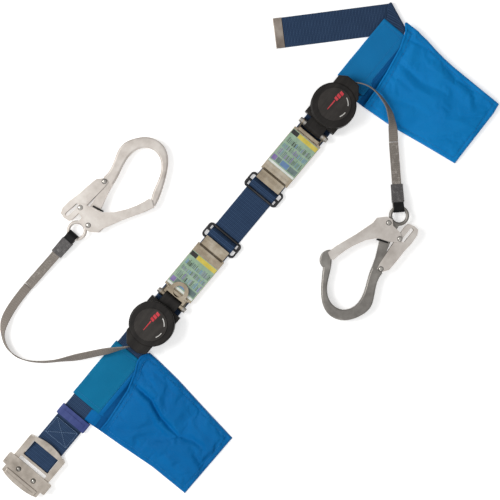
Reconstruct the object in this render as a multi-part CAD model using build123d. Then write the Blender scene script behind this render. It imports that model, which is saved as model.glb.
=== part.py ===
from build123d import *

import math
import os

# A work belt that carries two retractable shock absorbing lanyards, laid out flat.
#
# Frame: +X runs along the belt from the buckle to the folded free end, +Y runs across it,
# +Z is up, and the surface that everything lies on is z = 0. The origin is the middle of the
# back webbing, between the two adjusters, on its underside.
#
# From -X to +X: buckle, keeper, left pouch, left reel, left absorber, left adjuster, back webbing,
# right adjuster, right absorber, right reel, right pouch, and the free end folded back under itself.
# The right reel, absorber and adjuster are the left ones turned half round about Z.
# The units are millimetres and degrees.

# ---- waist webbing -------------------------------------------------------------------------
WEB_W = 50.0
WEB_T = 2.6
WEB_MID = WEB_T / 2
PLAY = 0.3  # clearance between parts that move past each other

# ---- three-bar adjusters: bars at these distances from the middle of the belt ---------------
BAR_INNER_X, BAR_MIDDLE_X, BAR_OUTER_X = 42.3, 53.0, 66.0
BAR_R = 2.2
BAR_Z = WEB_T + 0.2 + BAR_R
ADJUSTER_HALF_W = 31.0
ADJUSTER_EAR_HALF_W = 33.5
HUMP_Z = BAR_Z + BAR_R + 0.2 + WEB_MID

# ---- absorber casing -----------------------------------------------------------------------
CASE_IN_X, CASE_OUT_X = 80.0, 167.0
CASE_HALF_W = 27.2
CASE_T = 1.2
CASE_Z = 3.0
CASE_TOP_Z = 11.5
LID_T = 1.0
LID_Z = 10.8
LABEL_IN_X, LABEL_OUT_X = 96.0, 163.0
LABEL_T = 0.3
PACK_T, PACK_PITCH, PACK_LAYERS = 1.1, 1.5, 4
PACK_IN_X, PACK_OUT_X, PACK_HALF_W = 97.0, 158.0, 22.5

# ---- hinge between absorber and reel --------------------------------------------------------
PIN_X, PIN_Z, PIN_R = 181.5, 12.0, 3.0
EAR_IN_Y, EAR_T, EAR_R = 20.8, 2.0, 6.2
KNUCKLE_HALF_W, KNUCKLE_R = 16.0, 6.5
RUN = 0.05  # running clearance on a pin or axle

# ---- reel ----------------------------------------------------------------------------------
REEL_X = 231.3
REEL_R = 37.5
REEL_WALL = 2.5
REEL_BOTTOM, REEL_SPLIT, REEL_TOP = 3.0, 14.0, 33.1
SNOUT_BOTTOM, SNOUT_TOP, NECK_TOP = 6.0, 31.4, 25.0
CAVITY_R = REEL_R - REEL_WALL
CAVITY_TOP = REEL_TOP - REEL_WALL
BADGE_R, BADGE_T = 27.0, 1.5
SLOT_ANGLE = -35.0
SLOT_FROM_AXIS = 26.6
SLOT_W = 3.4
AXLE_R = 4.0
HUB_R = 9.0
FLANGE_R, FLANGE_T = 33.0, 1.5
RATCHET_TEETH, RATCHET_R, RATCHET_ROOT_R = 24, 34.0, 31.2
ROLL_Z = 12.9
PAWL_X, PAWL_Y, PAWL_R = 40.0, 18.0, 3.4
PAWL_TIP_R, PAWL_TIP_ANGLE = 35.0, 3.0
SPRING_IN_R, SPRING_OUT_R, SPRING_TURNS, SPRING_T = 10.5, 30.0, 6, 0.5

# ---- lanyard webbing -----------------------------------------------------------------------
LANYARD_W, LANYARD_T = 15.0, 1.8
ROLL_R = SLOT_FROM_AXIS - LANYARD_T / 2 - PLAY
LEAD_LENGTH = 45.3
LEFT_ROUTE = [(-284.3, 4.6, 20.4), (-320.7, 34.1, 18.5), (-362.0, 66.0, 12.0), (-398.0, 98.0, 8.6)]
LEFT_ROUTE += [(-418.0, 131.0, 8.3), (-416.0, 163.0, 8.3), (-394.0, 187.0, 8.3), (-354.0, 196.2, 8.2)]
LEFT_ROUTE += [(-315.5, 196.3, 8.0)]
RIGHT_ROUTE = [(284.3, -4.6, 20.4), (294.0, -18.0, 20.6), (294.5, -45.0, 21.0), (286.0, -74.0, 21.2)]
RIGHT_ROUTE += [(267.5, -98.0, 21.0), (250.8, -113.2, 11.4)]
LEFT_STRAP_Z, RIGHT_STRAP_Z = 4.4, 9.4  # height of the far end of the sewn strap

# ---- hooks, in a frame of their own: origin at the eye, +x to the bow, +y to the hand lever ---
HOOK_Z = 10.0
BOW_HALF_T = 6.0
SPINE_HALF_T = 4.8
LEVER_IN_Z, LEVER_T = 5.1, 1.5
GATE_IN_Z, GATE_T = 6.9, 1.5
EYE_RING_R, EYE_BAR_R = 13.9, 2.9
LOOP_R = 6.1  # inside of the webbing loop round the eye
GATE_PIVOT = (19.0, -9.5)
LEVER_PIVOT = (91.0, 16.5)
LOCK_PIN = (32.0, 18.5)
GATE_STUD = (33.0, 19.0)
NOSE, NOSE_R, NOSE_ANGLE = (119.1, -63.1), 17.0, 29.3
RIVET_R, RIVET_HEAD_R, RIVET_HEAD_T = 2.4, 3.6, 0.9
LEFT_HOOK = Location((-194.0, 192.5, HOOK_Z), (0, 0, 0))
RIGHT_HOOK = Location((163.4, -197.9, HOOK_Z), (0, 0, 190.4))
LEFT_STRAP_ANGLE, RIGHT_STRAP_ANGLE = 178.3, 44.1
SEWN_LENGTH = 121.0

# ---- pouches and sleeves -------------------------------------------------------------------
CLOTH_T = 0.8
SLEEVE_LIFT = WEB_MID + PLAY + CLOTH_T  # belt's middle above the sleeve's underside
LEFT_SLEEVE = (-403.0, -292.0)
RIGHT_SLEEVE = (277.0, 397.0)
POUCH_WALL = 1.4
POUCH_H = 11.2
RIGHT_RISE_Z, RIGHT_TILT = 3.05, 1.99  # belt height where the right sleeve starts, its slope
FOLD_X, TAIL_ANGLE, TAIL_LENGTH = 407.0, 137.2, 202.0
FOLD_SLIP = 14.0  # the webbing creeps this far along the fold line
TIP_LENGTH, TIP_T = 14.5, 1.0

# ---- buckle and keeper ---------------------------------------------------------------------
KEEPER_X, KEEPER_L, KEEPER_HALF_W, KEEPER_H = -435.0, 18.0, 28.5, 9.4
BUCKLE_LEFT, BUCKLE_RIGHT, BUCKLE_HALF_W = -578.0, -491.5, 36.5
BUCKLE_INNER_BOW, BUCKLE_OUTER_BOW = 82.6, 138.0  # radii of the bowed short sides
FRAME_Z, FRAME_T = 10.3, 2.8
WEB_PIN_X, WEB_PIN_Z, WEB_PIN_R = -530.0, 5.0, 2.2
SLIDER_LEFT, SLIDER_RIGHT = -562.0, -541.0
SLIDER_RIVET_Y = 15.5

# ---- folder --------------------------------------------------------------------------------
os.makedirs("parts", exist_ok=True)
HALF_TURN = Rot(0, 0, 180)


def save(name, *solids):
    """Writes one node, of one or more separate solids."""
    shape = solids[0] if len(solids) == 1 else Compound(children=list(solids))
    export_step(shape, f"parts/{name}.step")


def box(x0, x1, y0, y1, z0, z1):
    """A block between two corners."""
    return Pos((x0 + x1) / 2, (y0 + y1) / 2, (z0 + z1) / 2) * Box(x1 - x0, y1 - y0, z1 - z0)


def rod_y(x, z, radius, y0, y1):
    """A round rod along Y."""
    return Pos(x, (y0 + y1) / 2, z) * Rot(90, 0, 0) * Cylinder(radius, y1 - y0)


def rod_z(x, y, radius, z0, z1):
    """A round rod along Z."""
    return Pos(x, y, (z0 + z1) / 2) * Cylinder(radius, z1 - z0)


def prism(points, z0, z1):
    """A straight-sided outline in XY, raised from z0 to z1."""
    return Pos(0, 0, z0) * extrude(make_face(Polyline(*points, close=True)), z1 - z0)


def strip(points, radii, thickness, width):
    """A flat strip seen from its side: points are (x, z) along its middle, radii its bends."""
    path = FilletPolyline(*[(x, 0, z) for x, z in points], radius=radii)
    start = path % 0
    section = Plane(origin=path @ 0, x_dir=(0, 1, 0), z_dir=start) * Rectangle(width, thickness)
    return sweep(section, path=path)


def bend_radii(points, share=0.45):
    """The radius at each inner point of a route: share of the shorter run over tan(half the turn)."""
    found = []
    for before, here, after in zip(points, points[1:], points[2:]):
        a, b = Vector(*here) - Vector(*before), Vector(*after) - Vector(*here)
        turn = math.radians(a.get_angle(b))
        found.append(share * min(a.length, b.length) / math.tan(turn / 2))
    return found


def hull_face(radius, tip, half):
    """A circle at the origin drawn out to a blunt tip."""
    lines = Circle(radius).edges() + Polyline((tip, -half), (tip, half)).edges()
    return make_hull(lines)


# ---- waist belt ----------------------------------------------------------------------------
RIGHT_END_X = RIGHT_SLEEVE[1] + 1.0
FOLD_Z = RIGHT_RISE_Z + (RIGHT_END_X - RIGHT_SLEEVE[0]) * math.tan(math.radians(RIGHT_TILT))
FOLD_R = (FOLD_Z - WEB_MID) / 2
FOLD_LINE = (math.cos(math.radians(TAIL_ANGLE / 2)), math.sin(math.radians(TAIL_ANGLE / 2)))
FOLD_AT = (FOLD_X + FOLD_SLIP * FOLD_LINE[0], FOLD_SLIP * FOLD_LINE[1])
FOLD_LOC = Location((*FOLD_AT, FOLD_Z - FOLD_R), (0, 0, TAIL_ANGLE / 2 - 90))
TAIL_LOC = Location((*FOLD_AT, 0), (0, 0, TAIL_ANGLE))


def belt_profile():
    """(x, z, bend) along the middle of the webbing, from the sewn end at the buckle."""
    wrap = WEB_PIN_R + 0.1 + WEB_MID
    low, high = WEB_PIN_Z - wrap, WEB_PIN_Z + wrap
    end = WEB_PIN_X - wrap
    course = [(-449, 5.1, 0), (-503, 4.35, 20), (-526, high, 8), (end, high, 3.55), (end, low, 3.55)]
    course += [(-520, low, 60), (-452, SLEEVE_LIFT, 60), (-290, SLEEVE_LIFT, 30), (-281, WEB_MID, 30)]
    hump = [(45.0, WEB_MID, 3), (50.2, HUMP_Z, 3), (55.8, HUMP_Z, 3), (61.5, WEB_MID, 3)]
    course += [(-x, z, r) for x, z, r in reversed(hump)]
    course += hump
    start = RIGHT_SLEEVE[0] - 2.5
    start_z = RIGHT_RISE_Z - 2.5 * math.tan(math.radians(RIGHT_TILT))
    course += [(268, WEB_MID, 12), (start, start_z, 12), (RIGHT_END_X, FOLD_Z, 30)]
    course += [(RIGHT_END_X + 1.5, FOLD_Z, 0)]
    return course


def waist_belt():
    """The webbing, sewn round the buckle pin at one end and folded under itself at the other."""
    course = belt_profile()
    band = strip([(x, z) for x, z, _ in course], [r for _, _, r in course[1:-1]], WEB_T, WEB_W)
    beyond = FOLD_LOC * box(0, 80, -80, 80, -20, 20)
    half_len = WEB_W / 2 / math.sin(math.radians(TAIL_ANGLE / 2))
    ring = rod_y(0, 0, FOLD_R + WEB_MID, -half_len, half_len)
    ring -= rod_y(0, 0, FOLD_R - WEB_MID, -half_len, half_len)
    ring = FOLD_LOC * (ring & box(0, 20, -80, 80, -20, 20))
    tail = TAIL_LOC * box(-40, TAIL_LENGTH, -WEB_W / 2, WEB_W / 2, 0, WEB_T)
    reach = (half_len * FOLD_LINE[0], half_len * FOLD_LINE[1])
    run_out = [(RIGHT_END_X + 1, -WEB_W / 2), (RIGHT_END_X + 1, WEB_W / 2)]
    run_out += [(FOLD_AT[0] + reach[0], FOLD_AT[1] + reach[1])]
    run_out += [(FOLD_AT[0] - reach[0], FOLD_AT[1] - reach[1])]
    band += prism(run_out, FOLD_Z - WEB_MID, FOLD_Z + WEB_MID)
    return band + ring + (tail - beyond)


def belt_tip():
    """A folded metal plate crimped on the free end."""
    tip_x = TAIL_LENGTH + TIP_T
    outer = box(tip_x - TIP_LENGTH, tip_x, -WEB_W / 2, WEB_W / 2, 0, WEB_T + TIP_T)
    outer = fillet(outer.edges().filter_by(Axis.Y).group_by(Axis.Z)[-1], 0.8)
    slot = box(0, TAIL_LENGTH, -WEB_W, WEB_W, -1, WEB_T)
    return TAIL_LOC * (outer - slot)


# ---- adjuster ------------------------------------------------------------------------------
def adjuster():
    """A three-bar slide: a wire ring with rounded ends, and a bar across its middle."""
    body = None
    for x in (BAR_INNER_X, BAR_MIDDLE_X, BAR_OUTER_X):
        bar = rod_y(x, BAR_Z, BAR_R, -ADJUSTER_HALF_W + 2, ADJUSTER_HALF_W - 2)
        body = bar if body is None else body + bar
    length = BAR_OUTER_X - BAR_INNER_X + 2 * BAR_R
    ring = RectangleRounded(length, 2 * ADJUSTER_EAR_HALF_W, 6.5)
    ring -= RectangleRounded(length - 4 * BAR_R, 2 * ADJUSTER_EAR_HALF_W - 6.4, 3.2)
    ring = Pos((BAR_INNER_X + BAR_OUTER_X) / 2, 0, BAR_Z - 2.0) * extrude(ring, 4.0)
    ring = fillet(ring.edges().group_by(Axis.Z)[-1], 0.9)
    ring -= box(0, 100, -28, 28, 0, 30)
    body += ring
    for side in (-1, 1):
        y0, y1 = sorted((side * 28, side * 31.5))
        body += rod_y(BAR_MIDDLE_X, BAR_Z, BAR_R, y0, y1)
        body += box(BAR_INNER_X, BAR_MIDDLE_X, y0, y1, BAR_Z - 1.6, BAR_Z + 1.6)
    return body


# ---- absorber ------------------------------------------------------------------------------
def absorber_case():
    """A sheet tray with low side walls and two ears that carry the hinge pin."""
    body = box(CASE_IN_X, CASE_OUT_X, -CASE_HALF_W, CASE_HALF_W, CASE_Z, CASE_Z + CASE_T)
    for side in (-1, 1):
        y0, y1 = sorted((side * (CASE_HALF_W - CASE_T), side * CASE_HALF_W))
        body += box(CASE_IN_X, CASE_OUT_X, y0, y1, CASE_Z, LID_Z)
        y0, y1 = sorted((side * EAR_IN_Y, side * (EAR_IN_Y + EAR_T)))
        side_view = [(160, CASE_Z), (176, CASE_Z), (PIN_X + 3.8, PIN_Z - 4.8)]
        side_view += [(PIN_X - 2, PIN_Z + 5.8), (168.5, 10.4)]
        side_view += [(160, 10.4)]
        arm = make_face(Polyline(*[(x, z) for x, z in side_view], close=True))
        arm = Plane.XZ * arm
        arm = Pos(0, y1, 0) * extrude(arm, y1 - y0)
        arm += rod_y(PIN_X, PIN_Z, EAR_R, y0, y1)
        body += arm
    return body - rod_y(PIN_X, PIN_Z, PIN_R, -40, 40)


def absorber_lid():
    """The pressed lid: flat under the label, a ridge and a lip at the inner end, rolled at the outer."""
    top = LID_Z + LID_T
    body = box(CASE_IN_X, CASE_OUT_X, -CASE_HALF_W, CASE_HALF_W, LID_Z, top)
    body -= box(CASE_IN_X - 1, 88.5, -23.5, 23.5, 0, 20)
    body += rod_y(170.2, 8.0, 3.3, -20.3, 20.3)
    body += box(166, 170.2, -20.3, 20.3, 10.0, 11.3)
    body -= box(163.2, 166.0, -21.0, 21.0, LID_Z - 1, 20)
    pressed = [(62.6, 8.4), (69, 10.0), (75.5, 8.3), (79.5, 8.3), (83.2, 12.2), (86.8, 12.2)]
    pressed += [(90.5, LID_Z + LID_T / 2), (100, LID_Z + LID_T / 2)]
    body += strip(pressed, [4, 3, 2.5, 1.5, 1.5, 4], LID_T, 47.0)
    return body


def absorber_label():
    return box(LABEL_IN_X, LABEL_OUT_X, -26.5, 26.5, LID_Z + LID_T, LID_Z + LID_T + LABEL_T)


def tear_pack():
    """The energy absorbing webbing, folded to and fro in the tray."""
    z0 = CASE_Z + CASE_T + 0.3 + PACK_T / 2
    points = []
    for layer in range(PACK_LAYERS):
        ends = (PACK_IN_X, PACK_OUT_X) if layer % 2 == 0 else (PACK_OUT_X, PACK_IN_X)
        points += [(x, z0 + layer * PACK_PITCH) for x in ends]
    return strip(points, [PACK_PITCH / 2 - 0.05] * (len(points) - 2), PACK_T, 2 * PACK_HALF_W)


def hinge_pin(bushes):
    """The pin through the ears, with riveted heads and outer washers."""
    body = rod_y(PIN_X, PIN_Z, PIN_R, -27.0, 27.0)
    for side in (-1, 1):
        outer = EAR_IN_Y + EAR_T
        y0, y1 = sorted((side * outer, side * (outer + 2.2)))
        body += rod_y(PIN_X, PIN_Z, 5.6, y0, y1)
        y0, y1 = sorted((side * (outer + 2.2), side * 29.0))
        head = rod_y(PIN_X, PIN_Z, 4.4, y0, y1)
        body += fillet(head.edges().filter_by(GeomType.CIRCLE).sort_by(Axis.Y)[-1 if side > 0 else 0], 1.2)
        if bushes:
            y0, y1 = sorted((side * (KNUCKLE_HALF_W + PLAY), side * (EAR_IN_Y - 0.1)))
            body += rod_y(PIN_X, PIN_Z, 5.0, y0, y1)
    return body


# ---- reel, with its axis on Z at the origin of its own frame ---------------------------------
REEL_LOC = Location((REEL_X, 0, 0))
HINGE_AT = PIN_X - REEL_X
SNOUT = [(20, 25), (43.7, 25), (51.7, 13), (52.2, 0), (51.1, -11), (43.7, -17), (33.7, -25), (20, -25)]
PAWL_POCKET = [(30, -4), (37.5, -6), (43, 0), (47, 16), (45, 22), (35, 23), (28, 16)]
SCREWS = [(-29.7, 25.5, REEL_BOTTOM), (-29.7, -25.5, REEL_BOTTOM), (45.0, -9.5, SNOUT_BOTTOM)]
SCREWS += [(37.0, -19.0, SNOUT_BOTTOM)]
SLOT_LOC = Location((0, 0, 0), (0, 0, SLOT_ANGLE))


def neck():
    block = box(HINGE_AT, -30, -KNUCKLE_HALF_W, KNUCKLE_HALF_W, PIN_Z - KNUCKLE_R, PIN_Z + KNUCKLE_R)
    return block + rod_y(HINGE_AT, PIN_Z, KNUCKLE_R, -KNUCKLE_HALF_W, KNUCKLE_HALF_W)


def reel_hollow():
    """All that is cut from the two shells: the drum space, the slot, the pawl pocket and the screws."""
    space = rod_z(0, 0, CAVITY_R, REEL_BOTTOM + REEL_WALL, CAVITY_TOP)
    y0 = SLOT_FROM_AXIS - SLOT_W / 2
    space += SLOT_LOC * box(10, 80, y0, y0 + SLOT_W, ROLL_Z - 0.4, ROLL_Z + LANYARD_W + 0.4)
    space += prism(PAWL_POCKET, 10.5, REEL_SPLIT)
    for x, y, z in SCREWS:
        space += rod_z(x, y, 1.5, z, 20.0)
        space += rod_z(x, y, 2.8, z - 1, z + 1.6)
    return space


def reel_base():
    body = rod_z(0, 0, REEL_R, REEL_BOTTOM, REEL_SPLIT)
    body += box(-35.8, -23.6, -30, 30, REEL_BOTTOM, REEL_SPLIT)
    body = chamfer(body.edges().group_by(Axis.Z)[0], 1.0)
    body += prism(SNOUT, SNOUT_BOTTOM, REEL_SPLIT)
    body += neck()
    return REEL_LOC * (body - reel_hollow() - rod_y(HINGE_AT, PIN_Z, PIN_R + RUN, -40, 40))


def reel_cover():
    drum = rod_z(0, 0, REEL_R, REEL_SPLIT, REEL_TOP)
    drum = fillet(drum.edges().group_by(Axis.Z)[-1], 3.0)
    snout = prism(SNOUT, REEL_SPLIT, SNOUT_TOP)
    snout = fillet(snout.edges().group_by(Axis.Z)[-1].sort_by(Axis.X)[2:], 2.0)
    tabs = box(-35.8, -23.6, -30, 30, REEL_SPLIT, NECK_TOP)
    tabs = fillet(tabs.edges().group_by(Axis.Z)[-1], 1.5)
    body = drum + snout + tabs
    block = box(HINGE_AT, -30, -KNUCKLE_HALF_W, KNUCKLE_HALF_W, PIN_Z - KNUCKLE_R, PIN_Z + KNUCKLE_R)
    return REEL_LOC * (body - reel_hollow() - block)


def reel_badge():
    disc = rod_z(0, 0, BADGE_R, REEL_TOP, REEL_TOP + BADGE_T)
    disc = fillet(disc.edges().group_by(Axis.Z)[-1], 0.7)
    return REEL_LOC * Pos(2, 0, 0) * disc


def reel_pins():
    """The spool axle and the pawl pin."""
    axle = rod_z(0, 0, AXLE_R, REEL_BOTTOM + REEL_WALL, CAVITY_TOP)
    return [REEL_LOC * axle, REEL_LOC * rod_z(PAWL_X, PAWL_Y, 1.6, 10.5, REEL_SPLIT)]


def reel_screws():
    found = []
    for x, y, z in SCREWS:
        screw = rod_z(x, y, 1.5, z, 19.8) + rod_z(x, y, 2.6, z, z + 1.6)
        screw -= box(x - 1.8, x + 1.8, y - 0.35, y + 0.35, z - 0.1, z + 0.7)
        screw -= box(x - 0.35, x + 0.35, y - 1.8, y + 1.8, z - 0.1, z + 0.7)
        found.append(REEL_LOC * screw)
    return found


def spool():
    """The drum, with the ratchet as its lower flange."""
    hub_bottom = REEL_BOTTOM + REEL_WALL + 0.4
    low, high = ROLL_Z - 0.4, ROLL_Z + LANYARD_W + 0.4
    body = rod_z(0, 0, HUB_R, hub_bottom, high + FLANGE_T)
    body += rod_z(0, 0, FLANGE_R, high, high + FLANGE_T)
    teeth = []
    for tooth in range(RATCHET_TEETH):
        turn = 2 * math.pi / RATCHET_TEETH
        for radius, angle in ((RATCHET_ROOT_R, tooth * turn), (RATCHET_R, (tooth + 0.85) * turn)):
            teeth.append((radius * math.cos(angle), radius * math.sin(angle)))
    body += prism(teeth, low - FLANGE_T, low)
    for hole in range(6):
        angle = math.radians(60 * hole)
        body -= rod_z(18 * math.cos(angle), 18 * math.sin(angle), 4, high - 0.1, high + 5)
    return REEL_LOC * (body - rod_z(0, 0, AXLE_R + RUN, 0, 50))


def wound_webbing():
    ring = rod_z(0, 0, ROLL_R, ROLL_Z, ROLL_Z + LANYARD_W) - rod_z(0, 0, HUB_R, 0, 50)
    return REEL_LOC * ring


def lead_webbing():
    """The webbing between the roll and the mouth of the slot."""
    y0 = SLOT_FROM_AXIS - LANYARD_T / 2
    return REEL_LOC * SLOT_LOC * box(0, LEAD_LENGTH, y0, y0 + LANYARD_T, ROLL_Z, ROLL_Z + LANYARD_W)


def mainspring():
    """The flat rewind spring, coiled round the foot of the hub."""
    points = []
    steps = 24 * SPRING_TURNS
    for step in range(steps + 1):
        radius = SPRING_IN_R + (SPRING_OUT_R - SPRING_IN_R) * step / steps
        angle = 2 * math.pi * step / 24
        points.append((radius * math.cos(angle), radius * math.sin(angle), 8.2))
    path = Spline(*points)
    section = Plane(origin=path @ 0, x_dir=(0, 0, 1), z_dir=path % 0) * Rectangle(3.8, SPRING_T)
    return REEL_LOC * sweep(section, path=path)


def pawl():
    tip_turn = math.radians(PAWL_TIP_ANGLE)
    tip = (PAWL_TIP_R * math.cos(tip_turn), PAWL_TIP_R * math.sin(tip_turn))
    low, high = 10.8, 12.4
    arm = [(PAWL_X - 2.8, PAWL_Y), (tip[0], tip[1]), (tip[0] + 2.6, tip[1] - 0.6), (PAWL_X + 2.8, PAWL_Y)]
    body = prism(arm, low, high) + rod_z(PAWL_X, PAWL_Y, PAWL_R, low, high)
    return REEL_LOC * (body - rod_z(PAWL_X, PAWL_Y, 1.6 + RUN, 0, 50))


# ---- lanyard webbing and the sewn loop round the hook eye -------------------------------------
def lanyard(route):
    path = FilletPolyline(*route, radius=bend_radii(route))
    section = Plane(origin=path @ 0, x_dir=(0, 0, 1), z_dir=path % 0) * Rectangle(LANYARD_W, LANYARD_T)
    return sweep(section, path=path), path.length


def strap_frame(hook, angle, rise):
    """Origin at the hook's eye bar, +x along the strap, +z up, tipped up by rise."""
    x, y, z = tuple(hook.position)
    turn = math.radians(angle)
    at = (x + EYE_RING_R * math.cos(turn), y + EYE_RING_R * math.sin(turn), z)
    return Location(at, (0, 0, angle)) * Location((0, 0, 0), (0, -rise, 0))


def side_on(face, width):
    """Turns a face drawn in (x, z) into a slab centred on y = 0."""
    return Pos(0, width / 2, 0) * extrude(Plane.XZ * face, width)


STRAP_TIP = 30.0


def strap_loop(place, length):
    """The end of the webbing, doubled back round the eye and sewn."""
    body = side_on(hull_face(LOOP_R + LANYARD_T, STRAP_TIP, LANYARD_T), LANYARD_W)
    body -= side_on(hull_face(LOOP_R, STRAP_TIP - 4, 0.1), LANYARD_W + 2)
    half = LANYARD_W / 2
    body += box(STRAP_TIP - 0.5, length, -half, half, -LANYARD_T, LANYARD_T)
    return place * body


def loop_guard(place):
    """The black wear cover on the loop."""
    outer = side_on(hull_face(LOOP_R + LANYARD_T + 0.8, STRAP_TIP, LANYARD_T + 0.8), 17.0)
    inner = side_on(hull_face(LOOP_R + LANYARD_T, STRAP_TIP, LANYARD_T), 20.0)
    return place * ((outer - inner) & box(-20, 8, -20, 20, -20, 20))


def strap_sleeve(place):
    """The grey sleeve over the stitching next to the loop."""
    outer = side_on(hull_face(LOOP_R + LANYARD_T + 0.8, STRAP_TIP, LANYARD_T + 0.8), 19.5)
    outer += box(STRAP_TIP - 1, 38, -9.75, 9.75, -LANYARD_T - 0.8, LANYARD_T + 0.8)
    inner = side_on(hull_face(LOOP_R + LANYARD_T, STRAP_TIP, LANYARD_T), LANYARD_W)
    inner += box(STRAP_TIP - 1, 60, -LANYARD_W / 2, LANYARD_W / 2, -LANYARD_T, LANYARD_T)
    return place * ((outer - inner) & box(8.2, 60, -20, 20, -20, 20))


# ---- hook ----------------------------------------------------------------------------------
BOW_OUTER = [(96, 22.5), (110, 21.9), (129, 27), (154.8, 32.8), (177.2, 23.5), (195.6, 2.7), (198, -21.3)]
BOW_OUTER += [(183.6, -42.1), (158, -57.3), (126, -70.1), (112, -73.2)]
BOW_INNER = [(114.5, -62.5), (142, -51.7), (166, -42.1), (179.6, -26.1), (180.4, -6.9), (169.2, 6.7)]
BOW_INNER += [(151.6, 12), (126, 8.6), (96, 2.6)]
SPINE = [(11, -11.5), (24, -17), (34, -14.5), (53, -7.7), (78, -0.5), (100, 3.4)]
SPINE += [(100, 21.5), (88, 21), (60, 10.5)]
SPINE += [(36, 7.5), (20, 7.5), (10, 8)]
LEVER_SIDE = [(4, 20), (10, 17.1), (44, 13.5), (84, 10.5), (94, 11), (94, 21)]
LEVER_SIDE += [(86, 29.1), (66, 33), (48, 35.5), (30, 40)]
LEVER_SIDE += [(14, 41.5), (5, 38), (3, 29.5)]
LEVER_TOP = [(8, 33.5), (36, 30), (70, 26.5), (84, 26.5), (86, 29.1), (66, 33)]
LEVER_TOP += [(48, 35.5), (30, 40), (14, 41.5), (5, 38)]
GATE_SIDE = [(11.5, -17), (11.5, -7), (19.7, -1), (23.5, 13.9), (28.5, 20), (33, 24), (39, 21.5), (46, 5.5)]
GATE_SIDE += [(49.6, -13), (62.8, -28.5), (80, -41.2), (94, -49.3), (107, -54.9)]
GATE_SIDE += [(116, -57.6), (117.5, -63), (110, -72.5), (94, -65.3), (62, -46.9), (30, -30.9), (20.4, -29.3)]
GATE_WEB = [(33, -27.5), (62, -41.8), (93, -59), (92.5, -64.6), (62, -46.9), (30, -30.9)]


def hook_body(bulbous):
    """The forged bow, its spine and its eye; the bow of one hook ends in a round nose."""
    outer = Spline(*BOW_OUTER)
    inner = Spline(*BOW_INNER)
    edges = [outer, Line(outer @ 1, inner @ 0), inner, Line(inner @ 1, outer @ 0)]
    bow = extrude(make_face(edges), BOW_HALF_T, both=True)
    long_edges = bow.edges().filter_by(lambda e: abs(e.center().Z) > BOW_HALF_T - 0.1 and e.length > 60)
    bow = fillet(long_edges, 3.0)
    eye = Torus(EYE_RING_R, EYE_BAR_R)
    hole = rod_z(0, 0, EYE_RING_R, -20, 20)
    spine = prism(SPINE, -SPINE_HALF_T, SPINE_HALF_T) - hole
    body = bow + spine + eye
    if bulbous:
        nose = fillet(rod_z(*NOSE, NOSE_R, -BOW_HALF_T, BOW_HALF_T).edges(), 2.5)
        body += nose & (Location((*NOSE, 0), (0, 0, NOSE_ANGLE)) * box(-40, 40, -40, 0.5, -20, 20))
    for x, y in (GATE_PIVOT, LEVER_PIVOT):
        body -= rod_z(x, y, RIVET_R, -20, 20)
    return body


def two_sides(outline, inner_z, sheet):
    return prism(outline, inner_z, inner_z + sheet) + prism(outline, -inner_z - sheet, -inner_z)


def hook_gate():
    """A folded sheet gate, open at the nose so that it can swing inwards."""
    outer_z = GATE_IN_Z + GATE_T
    body = two_sides(GATE_SIDE, GATE_IN_Z, GATE_T) + prism(GATE_WEB, -outer_z, outer_z)
    body += rod_z(*GATE_STUD, RIVET_HEAD_R, outer_z, outer_z + RIVET_HEAD_T)
    body += rod_z(*GATE_STUD, RIVET_HEAD_R, -outer_z - RIVET_HEAD_T, -outer_z)
    return body - rod_z(*GATE_PIVOT, RIVET_R + RUN, -20, 20)


def hook_lever():
    """The hand lever: two cheeks, a closed back with a finger slot, and its own rivet."""
    outer_z = LEVER_IN_Z + LEVER_T
    body = two_sides(LEVER_SIDE, LEVER_IN_Z, LEVER_T) + prism(LEVER_TOP, -outer_z, outer_z)
    slot = SlotCenterToCenter(22, 6)
    body -= Pos(21.5, 27.5, -20) * Rot(0, 0, -9) * extrude(slot, 40)
    body += rod_z(*LOCK_PIN, RIVET_R, -outer_z, outer_z)
    return body - rod_z(*LEVER_PIVOT, RIVET_R + RUN, -20, 20)


def hook_rivets():
    """The pivots of gate and lever, with their heads."""
    found = []
    for (x, y), face in ((GATE_PIVOT, GATE_IN_Z + GATE_T), (LEVER_PIVOT, LEVER_IN_Z + LEVER_T)):
        low = face + RUN
        rivet = rod_z(x, y, RIVET_R, -low, low)
        rivet += rod_z(x, y, RIVET_HEAD_R, low, low + RIVET_HEAD_T)
        rivet += rod_z(x, y, RIVET_HEAD_R, -low - RIVET_HEAD_T, -low)
        found.append(rivet)
    return found


def gate_spring():
    """A leaf between the spine and the gate."""
    leaf = [(26, -17.9), (34, -15.7), (50, -20.2), (50, -21.0), (34, -16.6), (26, -18.8)]
    return prism(leaf, -3.5, 3.5)


# ---- pouches -------------------------------------------------------------------------------
LEFT_POUCH = [(-425, -29.3), (-420, -90), (-417, -120), (-414, -150), (-413, -220)]
LEFT_POUCH += [(-293, -222), (-284, -150)]
LEFT_POUCH += [(-276, -90), (-273, -50), (-272, -27.5), (-293, -27), (-402, -27), (-404, -29.3)]
RIGHT_POUCH = [(263, -27.5), (416, -27.5), (412, -70), (409, -110), (410, -207), (393, -210), (289, -214)]
RIGHT_POUCH += [(279, -152), (268, -84)]


def pouch_back(outline, sleeve):
    """The back panel and the belt sleeve above it."""
    x0, x1 = sleeve
    high = 2 * CLOTH_T + 2 * PLAY + WEB_T
    tube = box(x0, x1, -28, 28, 0, high) - box(x0 - 1, x1 + 1, -25.6, 25.6, CLOTH_T, high - CLOTH_T)
    return tube + prism(outline, 0, POUCH_WALL)


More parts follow.
